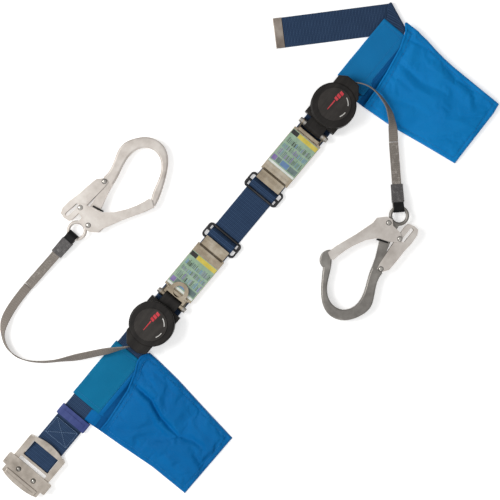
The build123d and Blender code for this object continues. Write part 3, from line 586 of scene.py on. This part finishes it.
# ---- belt webbing ----
def rounded_line(points, radii, step):
    """A polyline in (x, z) with arcs of those radii at its inner corners, in steps of about that length."""
    out = [Vector(points[0])]
    for a, b, c, radius in zip(points, points[1:], points[2:], radii):
        a, b, c = Vector(a), Vector(b), Vector(c)
        into, away = (b - a).normalized(), (c - b).normalized()
        turn = into.angle(away)
        reach = radius * math.tan(turn / 2)
        start, end = b - into * reach, b + away * reach
        inward = (away - into).normalized()
        centre = b + inward * math.hypot(radius, reach)
        first, last = start - centre, end - centre
        count = max(2, int(turn / math.radians(9)))
        sweep = first.angle_signed(last)
        for k in range(count + 1):
            turned = first.copy()
            turned.rotate(Matrix.Rotation(-sweep * k / count, 2))
            out.append(centre + turned)
    out.append(Vector(points[-1]))
    fine = [out[0]]
    for a, b in zip(out, out[1:]):
        cells = max(1, round((b - a).length / step))
        fine += [a.lerp(b, k / cells) for k in range(1, cells + 1)]
    return fine


BELT_LINE = [(-449, 5.1), (-503, 4.35), (-526, 8.6), (-533.6, 8.6), (-533.6, 1.4), (-520, 1.4)]
BELT_LINE += [(-452, 2.4), (-290, 2.4), (-281, 1.3), (-61.5, 1.3), (-55.8, 8.7), (-50.2, 8.7), (-45, 1.3)]
BELT_LINE += [(45, 1.3), (50.2, 8.7), (55.8, 8.7), (61.5, 1.3), (268, 1.3), (274.5, 2.963)]
BELT_LINE += [(398, 7.254), (402, 7.254)]
BELT_BENDS = [20, 8, 3.55, 3.55, 60, 60, 30, 30, 3, 3, 3, 3, 3, 3, 3, 3, 12, 12, 30]
FOLD_X = 407.0
FOLD_ACROSS = Vector((0.9311, -0.3649))
FOLD_ALONG = Vector((0.3649, 0.9311))
FOLD_R, FOLD_Z = 2.977, 4.277
FOLD_SHIFT = -3.67  # along the fold line, so that the folded end leaves along its own middle
FOLD_SLIP = 14.0  # the webbing creeps this far along the fold line
TAIL_FLAT_X = 615.0
BELT_W, BELT_T = 50.0, 2.6


def folded(x, y, lift):
    """Where a point of the flat level end lands once it is folded over and under."""
    past = (Vector((x, y)) - Vector((FOLD_X, 0))).dot(FOLD_ACROSS)
    half_turn = math.pi * FOLD_R
    if past <= 0:
        return Vector((x, y, FOLD_Z + FOLD_R + lift))
    foot = Vector((x, y)) - FOLD_ACROSS * past
    foot += FOLD_ALONG * (FOLD_SHIFT * min(1.0, past / half_turn))
    if past < half_turn:
        a = past / FOLD_R
        at = foot + FOLD_ACROSS * ((FOLD_R + lift) * math.sin(a))
        return Vector((at.x, at.y, FOLD_Z + (FOLD_R + lift) * math.cos(a)))
    at = foot - FOLD_ACROSS * (past - half_turn)
    return Vector((at.x, at.y, FOLD_Z - FOLD_R - lift))


def slipped(point, x, y):
    """The point moved along the fold line, as much as the webbing has crept there."""
    past = (x - FOLD_X) * FOLD_ACROSS.x + y * FOLD_ACROSS.y
    t = max(0.0, min(1.0, past / 18.0 + 1))
    creep = FOLD_SLIP * t * t * (3 - 2 * t)
    return point + Vector((FOLD_ALONG.x * creep, FOLD_ALONG.y * creep, 0))


def belt():
    """One length of webbing: sewn back on itself round the buckle bar, then folded over at the far end."""
    section = band_section(BELT_W, BELT_T, 20)
    line = rounded_line(BELT_LINE, BELT_BENDS, 2.5)
    rings, uv_rings, travelled = [], [], 0.0
    for i, at in enumerate(line):
        along = heading(line, i)
        normal = Vector((-along.y, along.x))
        if i:
            travelled += (at - line[i - 1]).length
        ring = [Vector((at.x + normal.x * w, v, at.y + normal.y * w)) for v, w in section]
        rings.append([slipped(point, at.x, v) for point, (v, w) in zip(ring, section)])
        uv_rings.append([(travelled, v) for v, w in section])
    x = line[-1].x
    while x < TAIL_FLAT_X:
        step = 0.8 if x < 438 else 3.0
        x += step
        travelled += step
        rings.append([slipped(folded(x, v, w), x, v) for v, w in section])
        uv_rings.append([(travelled, v) for v, w in section])
    piece = loft("belt_web", rings, "belt", "belt", uv_rings)
    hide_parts("waist_belt")


belt()


def belt_seams():
    """The box and cross sewn through both layers by the buckle."""
    low, high, half = -480.5, -450.0, 21.5
    plan = [(low, -half), (high, -half), (high, half), (low, half)]
    # the sewn end slopes down from the belt line's first point
    corners = [(x, y, 5.1 + 0.0139 * (x + 449) + BELT_T / 2) for x, y in plan]
    lines = [corners + corners[:1], corners[0::2], corners[1::2]]
    piece = stitches("belt_stitching", lines, "thread_blue", "belt", 3.0, 0.62, 0.3)


belt_seams()


# ---- pouches ----
# the right pouch lies tilted, because the folded belt lifts its outer side
TILT = Matrix.Rotation(math.radians(-1.99), 4, "Y")
TILT = Matrix.Translation((277, 0, 0.65)) @ TILT @ Matrix.Translation((-277, 0, 0))
PLACE = {"left": Matrix.Identity(4), "right": TILT}
POUCHES = {
    "left": {
        "sleeve": (-403.0, -292.0),
        "seams": [-25.5],
        "left_edge": [(-15, -425.6), (-27, -425), (-90, -420), (-120, -417), (-150, -414), (-222, -413)],
        "right_edge": [(-27, -272), (-50, -273), (-90, -276), (-150, -284), (-222, -293)],
        "mouth": [(-425, -47), (-402, -47), (-342, -40), (-312, -30), (-296, -22), (-286, -21), (-271, -29)],
        "bottom": [(-425, -220), (-293, -222)],
        "top": [(-426, -15), (-404, -14), (-401.5, -26), (-398, -27), (-272, -27)],
        "inside": [(-426, -36), (-402, -34), (-332, -34), (-310, -28)],
        "creases": [
            ([(-327, -38), (-330, -80), (-342, -110), (-347, -150)], 3.2, -5.6),
            ([(-337, -42), (-340, -82), (-352, -112), (-358, -150)], 4.2, 1.6),
            ([(-316, -50), (-319, -84), (-330, -112)], 4.6, 1.2),
            ([(-281, -44), (-282, -75), (-287, -112)], 4.0, 1.5),
            ([(-292, -42), (-293, -75), (-298, -112)], 4.4, -1.2),
            ([(-398, -120), (-400, -170), (-396, -214)], 8.0, -2.4),
            ([(-384, -130), (-386, -170), (-382, -212)], 6.0, 1.1),
            ([(-405, -60), (-390, -85), (-372, -98)], 5.0, -1.4),
            ([(-310, -150), (-318, -180), (-312, -214)], 6.0, -1.4),
            ([(-372, -150), (-364, -185), (-368, -215)], 6.0, 1.0),
            ([(-347, -150), (-338, -172), (-334, -200)], 5.0, -1.6),
            ([(-300, -196), (-330, -206), (-360, -203)], 5.0, 0.8),
        ],
    },
    "right": {
        "sleeve": (277.0, 397.0),
        "seams": [-12.0, -21.0],
        "left_edge": [(-27, 263), (-84, 268), (-106, 271), (-152, 279), (-214, 289)],
        "right_edge": [
            (-2, 415.5), (-27, 416.5), (-50, 415), (-70, 412), (-90, 410), (-110, 409), (-207, 410)
        ],
        "mouth": [(263, -40), (293, -38), (330, -33), (376, -24), (404, -13), (412, -5), (417, -4)],
        "bottom": [(289, -214), (393, -210), (410, -207)],
        "top": [(263, -20), (275, -22), (278, -27), (416, -27)],
        "inside": [(263, -28), (300, -22), (392, -21)],
        "creases": [
            ([(400, -86), (398, -130), (401, -182)], 5.0, -2.6),
            ([(388, -60), (385, -110), (389, -172)], 5.0, 1.5),
            ([(300, -60), (318, -100), (322, -150)], 6.0, -1.6),
            ([(345, -42), (342, -90), (350, -130)], 6.0, 1.2),
            ([(358, -36), (356, -84), (366, -126)], 5.0, -1.2),
            ([(292, -150), (312, -176), (318, -208)], 6.0, -1.2),
            ([(352, -170), (374, -196), (392, -206)], 4.0, -1.4),
            ([(330, -150), (346, -176), (352, -205)], 5.0, 0.9),
            ([(396, -24), (402, -46), (404, -70)], 3.4, -1.6),
        ],
    },
}
CLOTH_T = 1.0


def eased(t):
    t = max(0.0, min(1.0, t))
    return t * t * (3 - 2 * t)


def along_keys(keys, at):
    """Straight interpolation between (place, value) keys, whichever way they run."""
    keys = sorted(keys)
    if at <= keys[0][0]:
        return keys[0][1]
    for (s0, v0), (s1, v1) in zip(keys, keys[1:]):
        if at <= s1:
            return v0 + (v1 - v0) * (at - s0) / (s1 - s0)
    return keys[-1][1]


def crease_height(creases, x, y):
    """Soft ridges and valleys along polylines."""
    here = Vector((x, y))
    total = 0.0
    for line, width, height in creases:
        nearest, ends = 1e9, 0.0
        for i, (a, b) in enumerate(zip(line, line[1:])):
            a, b = Vector(a), Vector(b)
            t = max(0.0, min(1.0, (here - a).dot(b - a) / (b - a).length_squared))
            gap = (here - a.lerp(b, t)).length
            if gap < nearest:
                nearest, ends = gap, (i + t) / (len(line) - 1)
        fade = min(1.0, 4 * min(ends, 1 - ends) + 0.25)
        total += height * fade * math.exp(-((nearest / width) ** 2))
    return total


def panel_grid(plan, top_line, columns, rows):
    """Points of a panel between its side edges, from its top line to its bottom line."""
    grid = []
    for j in range(rows + 1):
        row = []
        v = j / rows
        for i in range(columns + 1):
            u = i / columns
            x = 0.0
            y = -100.0
            for _ in range(3):
                x = along_keys(plan["left_edge"], y) * (1 - u) + along_keys(plan["right_edge"], y) * u
                y = along_keys(top_line, x) * (1 - v) + along_keys(plan["bottom"], x) * v
            row.append((x, y, u, v))
        grid.append(row)
    return grid


def cloth_panel(name, grid, height, inside=None):
    """A panel of cloth over a grid; what lies past the inside line takes the darker blue of painted shade."""
    rows, columns = len(grid) - 1, len(grid[0]) - 1
    verts = [(x, y, height(x, y, u, v)) for row in grid for x, y, u, v in row]
    faces = []
    w = columns + 1
    for j in range(rows):
        for i in range(columns):
            faces.append((j * w + i, (j + 1) * w + i, (j + 1) * w + i + 1, j * w + i + 1))
    face_mats = []
    for face in faces:
        x = sum(verts[k][0] for k in face) / 4
        y = sum(verts[k][1] for k in face) / 4
        # faces past the inside line get the painted shade material
        face_mats.append(1 if inside and y < along_keys(inside, x) else 0)
    cloth = f"{name.split('_')[0]}_pouch"
    return make(name, verts, faces, None, None, mats=[cloth, "pouch_painted_shade"], face_mats=face_mats)


CLOTH = {
    "vertex_group_mass": "held", "quality": 6, "mass": 0.15,
    "tension_stiffness": 12, "compression_stiffness": 12, "shear_stiffness": 6, "bending_stiffness": 0.35,
    "use_pressure": True, "uniform_pressure_force": 0.6,
}
FRAMES = 24


def wrinkle(obj, grid, slack, cap, hem):
    """Cloth with a little spare length, held along its hems, buckles into small wrinkles."""
    rows, columns = len(grid) - 1, len(grid[0]) - 1
    held = obj.vertex_groups.new(name="held")
    for j in range(rows + 1):
        for i in range(columns + 1):
            edge = min(i, columns - i, rows - j, j)
            weight = 1.0 if edge <= hem else max(0.0, 0.12 - 0.02 * (edge - hem))
            if weight > 0:
                held.add([j * (columns + 1) + i], weight, "REPLACE")
    before = [v.co.copy() for v in obj.data.vertices]
    cloth = obj.modifiers.new("cloth", "CLOTH")
    for key, value in CLOTH.items():
        setattr(cloth.settings, key, value)
    cloth.settings.shrink_min = -slack
    cloth.settings.effector_weights.gravity = 0
    cloth.point_cache.frame_start = 1
    cloth.point_cache.frame_end = FRAMES
    scene = bpy.context.scene
    for frame_no in range(1, FRAMES + 1):
        scene.frame_set(frame_no)
    deps = bpy.context.evaluated_depsgraph_get()
    settled = obj.evaluated_get(deps)
    moved = [v.co.copy() for v in settled.data.vertices]
    obj.modifiers.remove(cloth)
    scene.frame_set(1)
    for v, old, new in zip(obj.data.vertices, before, moved):
        step = new - old
        if step.length > cap * MM:
            step = step.normalized() * cap * MM
        v.co = old + step


def thicken(obj, thick):
    solid = obj.modifiers.new("thickness", "SOLIDIFY")
    solid.thickness = thick * MM
    solid.offset = -1.0
    solid.use_even_offset = True


def place(obj, side, body):
    obj.data.transform(Matrix.Scale(MM, 4) @ PLACE[side] @ Matrix.Scale(1 / MM, 4))
    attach(obj, body)
    return obj


def sleeve(side, plan):
    """The flat tube of cloth that the belt runs through, hemmed at both ends."""
    low_x, high_x = plan["sleeve"]
    outer, inner = [], []
    stations, n = 46, 56
    for k in range(stations + 1):
        t = k / stations
        x = low_x + (high_x - low_x) * t
        hem = 0.22 if x - low_x < 8 or high_x - x < 8 else 0.0
        hem_dip = -0.25 if abs(min(x - low_x, high_x - x) - 8.5) < 1.4 else 0.0
        ring_out, ring_in = [], []
        for q in range(n):
            a = 2 * math.pi * q / n
            c, s = math.cos(a), math.sin(a)
            y = 28.0 * math.copysign(abs(c) ** 0.22, c)
            z = 2.4 + 2.2 * math.copysign(abs(s) ** 0.5, s)
            if s > 0.3:
                z += hem + hem_dip + 0.22 * noise.noise(Vector((x * 0.05, y * 0.09, 3.0)))
                z -= 0.35 * math.exp(-(((y + 20) / 1.6) ** 2))
                z -= 0.30 * math.exp(-(((y - 21) / 1.6) ** 2))
            wave = 0.6 * noise.noise(Vector((x * 0.03, 7.0, math.copysign(5.0, y))))
            ring_out.append((x, y + wave * abs(c) ** 4, z))
            y_in, z_in = math.copysign(abs(c) ** 0.15, c), math.copysign(abs(s) ** 0.4, s)
            ring_in.append((x, 27.1 * y_in, 2.4 + 1.6 * z_in))
        outer.append(ring_out)
        inner.append(ring_in)
    verts = [p for ring in outer + inner for p in ring]
    faces, face_mats = [], []
    shift = len(outer) * n
    for i in range(stations):
        low, high = i * n, (i + 1) * n
        for j in range(n):
            k = (j + 1) % n
            faces.append((low + j, low + k, high + k, high + j))
            x, y, z = outer[i][j]
            # top faces of the right sleeve past the inside line get the painted shade material
            dark = side == "right" and y < along_keys(plan["inside"], x) and z > 3 and 300 < x < 392
            faces.append((shift + low + k, shift + low + j, shift + high + j, shift + high + k))
            face_mats += [int(dark), 0]
    for i in (0, stations):
        for j in range(n):
            k = (j + 1) % n
            faces.append((i * n + j, i * n + k, shift + i * n + k, shift + i * n + j))
            face_mats.append(0)
    cloth = [f"{side}_sleeve", "pouch_painted_shade"]
    piece = make(f"{side}_pouch_sleeve", verts, faces, None, None, mats=cloth, face_mats=face_mats)
    place(piece, side, f"{side}_pouch")
    top = 4.62
    lines = [[(low_x + 3 + (high_x - low_x - 6) * k / 12, y, top) for k in range(13)] for y in plan["seams"]]
    lines += [[(x, -24 + 48 * k / 6, top + 0.1) for k in range(7)] for x in (low_x + 7, high_x - 7)]
    seam = stitches(f"{side}_sleeve_stitching", lines, "thread_pouch", None, 3.0, 0.34, 0.05)
    place(seam, side, f"{side}_pouch")


SEAM_IN = 7.5  # how far the seams lie inside a front panel's edges


def beads(reach):
    """The raised edge and the sunk seam inside it, this far in from an edge."""
    edge = 0.55 * math.exp(-(((reach - 2.2) / 1.5) ** 2))
    return edge - 0.75 * math.exp(-(((reach - SEAM_IN) / 1.6) ** 2))


def front_height(plan, x, y, u, v, width, drop):
    """How high the front panel stands: boxed sides, beads at the seams, creases and soft waves."""
    across = max(0.0, 1 - abs(2 * u - 1) ** 9) ** (1 / 3)
    down = max(0.0, 1 - v ** 14) ** (1 / 3)
    full = across * down
    side = min(u, 1 - u) * width
    low = (1 - v) * drop
    bead = beads(side) + beads(low)
    mouth = 0.9 * math.exp(-v * 70) - 1.6 * math.exp(-(((v - 0.06) / 0.035) ** 2))
    soft = 1.5 * noise.noise(Vector((x * 0.017, y * 0.02, 4.0)))
    soft += 0.7 * noise.noise(Vector((x * 0.06, y * 0.04, 9.0)))
    over_belt = 2.9 * eased((y + 35) / 7)
    relief = bead + mouth + crease_height(plan["creases"], x, y) + soft
    return 1.7 + over_belt + full * (5.6 - 0.9 * over_belt) + min(1.0, full * 1.1) * relief


def rolled_hem(name, line, side, width, thick):
    """A turned and sewn edge of cloth along a line."""
    section = band_section(width, thick, 4)
    rings = []
    for i, at in enumerate(line):
        along = heading(line, i)
        across = Vector((0, 0, 1)).cross(along).normalized()
        up = along.cross(across)
        rings.append([at + across * v + up * w for v, w in section])
    return place(loft(name, rings, f"{side}_pouch", None), side, f"{side}_pouch")


def pouches():
    """Each pouch: its sleeve, back panel, front panel, turned hem and stitching."""
    for side, plan in POUCHES.items():
        body = f"{side}_pouch"
        sleeve(side, plan)
        back_grid = panel_grid(plan, plan["top"], 66, 90)

        def back_height(x, y, u, v):
            lift = 0.3 * noise.noise(Vector((x * 0.03, y * 0.04, 1.0)))
            fold = along_keys(plan["inside"], x)
            ridge = math.exp(-(((y - fold) / 1.6) ** 2)) * 0.7
            return 1.0 + 3.3 * eased((y + 38) / 10) + lift * 0.6 + ridge

        back = cloth_panel(f"{side}_pouch_back_panel", back_grid, back_height, plan["inside"])
        thicken(back, 0.7)
        place(back, side, body)
        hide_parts(f"{side}_pouch_back")
        columns, rows = 84, 112
        front_grid = panel_grid(plan, plan["mouth"], columns, rows)
        width = front_grid[rows // 2][columns][0] - front_grid[rows // 2][0][0]
        drop = front_grid[0][columns // 2][1] - front_grid[rows][columns // 2][1]
        front = cloth_panel(
            f"{side}_pouch_front_panel", front_grid,
            lambda x, y, u, v: front_height(plan, x, y, u, v, width, drop),
        )
        wrinkle(front, front_grid, 0.03 if side == "left" else 0.01, 2.6, 2)
        rim = [v.co / MM for v in front.data.vertices]
        thicken(front, CLOTH_T)
        row = columns + 1
        inset, end_row, top_row = round(SEAM_IN / width * columns), rows - round(SEAM_IN / drop * rows), 5
        down = range(top_row, end_row + 1, 3)
        seam_lines = [[tuple(rim[j * row + c]) for j in down] for c in (inset, columns - inset)]
        seam_lines.append([tuple(rim[top_row * row + i]) for i in range(4, columns - 3, 3)])
        seam_lines.append([tuple(rim[end_row * row + i]) for i in range(inset, columns - inset + 1, 3)])
        edge = [rim[i] - Vector((0, 0, 0.5)) for i in range(1, columns)]
        hem = rolled_hem(f"{side}_pouch_mouth_hem", edge, side, 3.4, 1.9)
        place(front, side, body)
        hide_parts(f"{side}_pouch_front")
        seam = stitches(f"{side}_pouch_stitching", seam_lines, "thread_pouch", None, 3.0, 0.42, 0.2)
        place(seam, side, body)


pouches()


# ---- printed panels and marks ----
def patches(name, rects, mats, body):
    """Thin printed areas: (x0, x1, y0, y1, z, material number)."""
    verts, faces, face_mats = [], [], []
    for x0, x1, y0, y1, z, m in rects:
        base = len(verts)
        for lift in (0.0, 0.06):
            verts += [(x0, y0, z + lift), (x1, y0, z + lift), (x1, y1, z + lift), (x0, y1, z + lift)]
        faces += [tuple(base + k for k in (0, 3, 2, 1)), tuple(base + k for k in (4, 5, 6, 7))]
        for k in range(4):
            faces.append((base + k, base + (k + 1) % 4, base + 4 + (k + 1) % 4, base + 4 + k))
        face_mats += [m] * 6
    piece = make(name, verts, faces, None, body, False, mats=mats, face_mats=face_mats)


def add_block(verts, faces, lower, upper):
    """Adds a four-sided block to a mesh, from its lower and upper corners."""
    base = len(verts)
    verts += lower + upper
    faces += [(base + 3, base + 2, base + 1, base), (base + 4, base + 5, base + 6, base + 7)]
    faces += [(base + k, base + (k + 1) % 4, base + 4 + (k + 1) % 4, base + 4 + k) for k in range(4)]


LABEL_TOP = 12.1
LABEL_MATS = ["print_white", "print_yellow", "print_black", "print_grey", "print_blue", "print_purple"]


def label_prints():
    """Bands, blocks and bars that stand for text, with no lettering."""
    draw = random.Random(11)
    for side, x0, x1 in (("left", -163.0, -96.0), ("right", 96.0, 163.0)):
        z = LABEL_TOP
        rects = [(x0 + 0.4, x0 + 4.0, -26, 26, z, 0)]
        rects.append((x1 - 8.5, x1 - 1.0, -26, 12.5, z, 1))
        rects.append((x1 - 8.5, x1 - 1.0, 13.0, 26, z, 2))
        for low, high, m in ((-25, -9, 3), (-8, 7, 4), (8, 16, 3), (17, 25, 5)):
            rects.append((x0 + 6.0, x0 + 15.0, low, high, z, m))
        for a, b in ((17.5, 30.0), (31.5, 41.0), (42.5, 53.0)):
            y = -24.5
            while y < 23.5:
                tall = draw.choice((0.9, 0.9, 0.9, 1.6))
                reach = draw.uniform(0.55, 1.0)
                end = x0 + a + (b - a) * reach
                rects.append((x0 + a, end, y, y + tall, z, draw.choice((3, 3, 2, 5, 4))))
                y += tall + draw.choice((0.8, 0.8, 1.5))
        patches(f"{side}_label_print", rects, LABEL_MATS, "belt")


label_prints()


def disc_marks():
    """A red bar, three slanted red blocks and two short light dashes on each reel cap."""
    for side, centre in (("left", -233.3), ("right", 233.3)):
        z = 34.62
        blocks = [[(-14, 3.2), (5, 2.4), (5, 4.6), (-14, 4.2)]]
        blocks += [[(6, 0.2), (10.4, 0.2), (11.6, 6.8), (7.2, 6.8)]]
        blocks += [[(11.6, -0.6), (16.4, -0.6), (17.6, 6.4), (12.8, 6.4)]]
        blocks += [[(17.6, -1.4), (22.4, -1.4), (23.6, 5.4), (18.8, 5.4)]]
        verts, faces = [], []
        for block in blocks:
            add_block(verts, faces, *([(centre + x, y, z + lift) for x, y in block] for lift in (0, 0.08)))
        bar = make(f"{side}_disc_bar", verts, faces, "mark_red", f"{side}_reel", False)
        verts, faces = [], []
        for start, end in ((-58, -22), (-118, -88)):
            base = len(verts)
            for k in range(9):
                a = math.radians(start + (end - start) * k / 8)
                for r in (21.4, 22.6):
                    for lift in (0, 0.07):
                        verts.append((centre + r * math.cos(a), r * math.sin(a), z + lift))
            for k in range(8):
                p, q = base + 4 * k, base + 4 * k + 4
                faces += [(p, q, q + 1, p + 1), (p + 1, q + 1, q + 3, p + 3)]
                faces += [(p + 3, q + 3, q + 2, p + 2), (p + 2, q + 2, q, p)]
            faces += [(base, base + 1, base + 3, base + 2), (base + 32, base + 34, base + 35, base + 33)]
        dash = make(f"{side}_disc_dashes", verts, faces, "mark_white", f"{side}_reel", False)


disc_marks()


HOOKS = {"left": ((-194.0, 192.5), 0.0), "right": ((163.4, -197.9), 190.4)}  # the eye, and the turn


def on_hook(side, x, y):
    """A point of the hook's own plan, where the hook lies."""
    (hx, hy), turn = HOOKS[side]
    c, s = math.cos(math.radians(turn)), math.sin(math.radians(turn))
    return hx + x * c - y * s, hy + x * s + y * c


HOOK_Z, EYE_RING_R, SEWN_LENGTH = 10.0, 13.9, 121.0  # as in part.py


def sewn_end_seams():
    """Rows of stitching along the doubled end of each lanyard."""
    for side, angle, far_z in (("left", 178.3, 4.4), ("right", 44.1, 9.4)):
        hook = HOOKS[side][0]
        turn = math.radians(angle)
        out = Vector((math.cos(turn), math.sin(turn), 0))
        across = Vector((-out.y, out.x, 0))
        rise = (far_z - HOOK_Z) / (SEWN_LENGTH - EYE_RING_R)
        top = HOOK_Z + STRAP_T + 0.05
        lines = []
        for v in (-5.6, -2.0, 2.0, 5.6):
            run = []
            for u in (56.0, 118.0):
                at = Vector((hook[0], hook[1], 0)) + out * u + across * v
                run.append((at.x, at.y, top + (u - EYE_RING_R) * rise))
            lines.append(run)
        piece = stitches(f"{side}_lanyard_stitching", lines, "thread_grey", "belt", 2.6, 0.35, 0.05)


sewn_end_seams()


def lathe(name, profile, at, mat, body):
    """A turned piece from (radius, z) points, about an upright line."""
    verts, faces = [], []
    n, m = 28, len(profile)
    for k in range(n):
        a = 2 * math.pi * k / n
        verts += [(at[0] + r * math.cos(a), at[1] + r * math.sin(a), z) for r, z in profile]
    for k in range(n):
        q = (k + 1) % n
        faces += [(k * m + i, q * m + i, q * m + i + 1, k * m + i + 1) for i in range(m - 1)]
    faces.append(tuple(k * m for k in range(n)))
    faces.append(tuple(k * m + m - 1 for k in range(n)))
    piece = make(name, verts, faces, mat, body)
    return piece


def rivets():
    """Domed rivet heads, each with a black ring round it as painted shade where the head meets the plate, on
    the release slide and on the hooks.
    """
    for k, y in enumerate((-15.5, 15.5)):
        dome = [(3.3, 16.4), (3.2, 17.2), (2.5, 18.0), (1.4, 18.5), (0.4, 18.7)]
        lathe(f"slide_rivet_{k + 1}", dome, (-554.5, y), "chrome", "buckle_slide")
        # black ring round the head: painted shade where the head meets the slide
        ring = [(4.3, 15.35), (4.3, 15.62), (3.35, 15.62), (3.35, 15.35)]
        lathe(f"slide_rivet_seat_{k + 1}", ring, (-554.5, y), "print_black", "buckle_slide")
    # place on the hook, and the height and name of the part under the head
    heads = [(19.0, -9.5, 18.4, "gate"), (33.0, 19.0, 18.4, "gate"), (91.0, 16.5, 16.6, "lever")]
    for side in HOOKS:
        for k, (x, y, low, body) in enumerate(heads):
            at = on_hook(side, x, y)
            # black ring round the head: painted shade where the head meets the plate
            shade_ring = [(4.4, low - 0.02), (4.4, low + 0.14), (3.62, low + 0.14), (3.62, low - 0.02)]
            lathe(f"{side}_rivet_seat_{k + 1}", shade_ring, at, "print_black", f"{side}_{body}")
            dome = [(3.3, low + 0.8), (2.9, low + 1.15), (1.9, low + 1.45), (0.5, low + 1.6)]
            rider = f"{side}_hook" if body == "lever" else f"{side}_{body}"
            lathe(f"{side}_rivet_dome_{k + 1}", dome, at, "chrome", rider)
        pad = [(46.9, 5.2), (49.2, 5.6), (52.9, -12.4), (50.5, -13.0)]
        verts, faces = [], []
        for levels in ((16.95, 18.1), (1.9, 3.05)):
            add_block(verts, faces, *([(*on_hook(side, x, y), z) for x, y in pad] for z in levels))
        piece = make(f"{side}_gate_stop", verts, faces, "guard", f"{side}_gate", False)


rivets()


# ---- floor and light ----
def floor():
    """A plain pale floor, just under the object, that reaches past any view."""
    s = Shade("floor_paper", (0.93, 0.93, 0.93), 0.9, Emission_Color=(1, 1, 1, 1), Emission_Strength=0.42)
    s.bump(s.noise(s.coords(), 0.02, 2), 0.02)
    mesh = bpy.data.meshes.new("floor")
    size, level = 40.0, -0.0004
    corners = [(-size, -size, level), (size, -size, level), (size, size, level), (-size, size, level)]
    mesh.from_pydata(corners, [], [(0, 1, 2, 3)])
    mesh.materials.append(s.mat)
    add_object("floor", mesh)


def area(name, at, size, power, color=(1, 1, 1)):
    """A round soft lamp that points at the middle of the object."""
    data = bpy.data.lights.new(name, "AREA")
    data.shape = "DISK"
    data.size = size
    data.energy = power
    data.color = color
    obj = add_object(name, data)
    obj.location = at
    obj.rotation_euler = (-Vector(at)).to_track_quat("-Z", "Y").to_euler()


def lights():
    """A sky that is paler towards the top, and two soft lamps."""
    world = bpy.data.worlds.new("studio")
    world.use_nodes = True
    tree = world.node_tree
    place_in = tree.nodes.new("ShaderNodeTexCoord")
    parts = tree.nodes.new("ShaderNodeSeparateXYZ")
    sky = tree.nodes.new("ShaderNodeValToRGB")
    stops = ((0.0, 0.12), (0.45, 0.22), (0.78, 0.85), (1.0, 1.0))
    fill_ramp(sky.color_ramp, [(at, (grey, grey, grey)) for at, grey in stops])
    tree.links.new(place_in.outputs["Generated"], parts.inputs["Vector"])
    tree.links.new(parts.outputs["Z"], sky.inputs["Fac"])
    tree.links.new(sky.outputs["Color"], tree.nodes["Background"].inputs["Color"])
    tree.nodes["Background"].inputs["Strength"].default_value = 0.66
    bpy.context.scene.world = world
    area("key", (-0.7, 1.2, 1.5), 1.1, 24.0, (1.0, 0.99, 0.97))
    area("side", (-1.2, -0.9, 1.1), 0.8, 5.0)
    bpy.context.scene.view_settings.view_transform = "Standard"


floor()
lights()
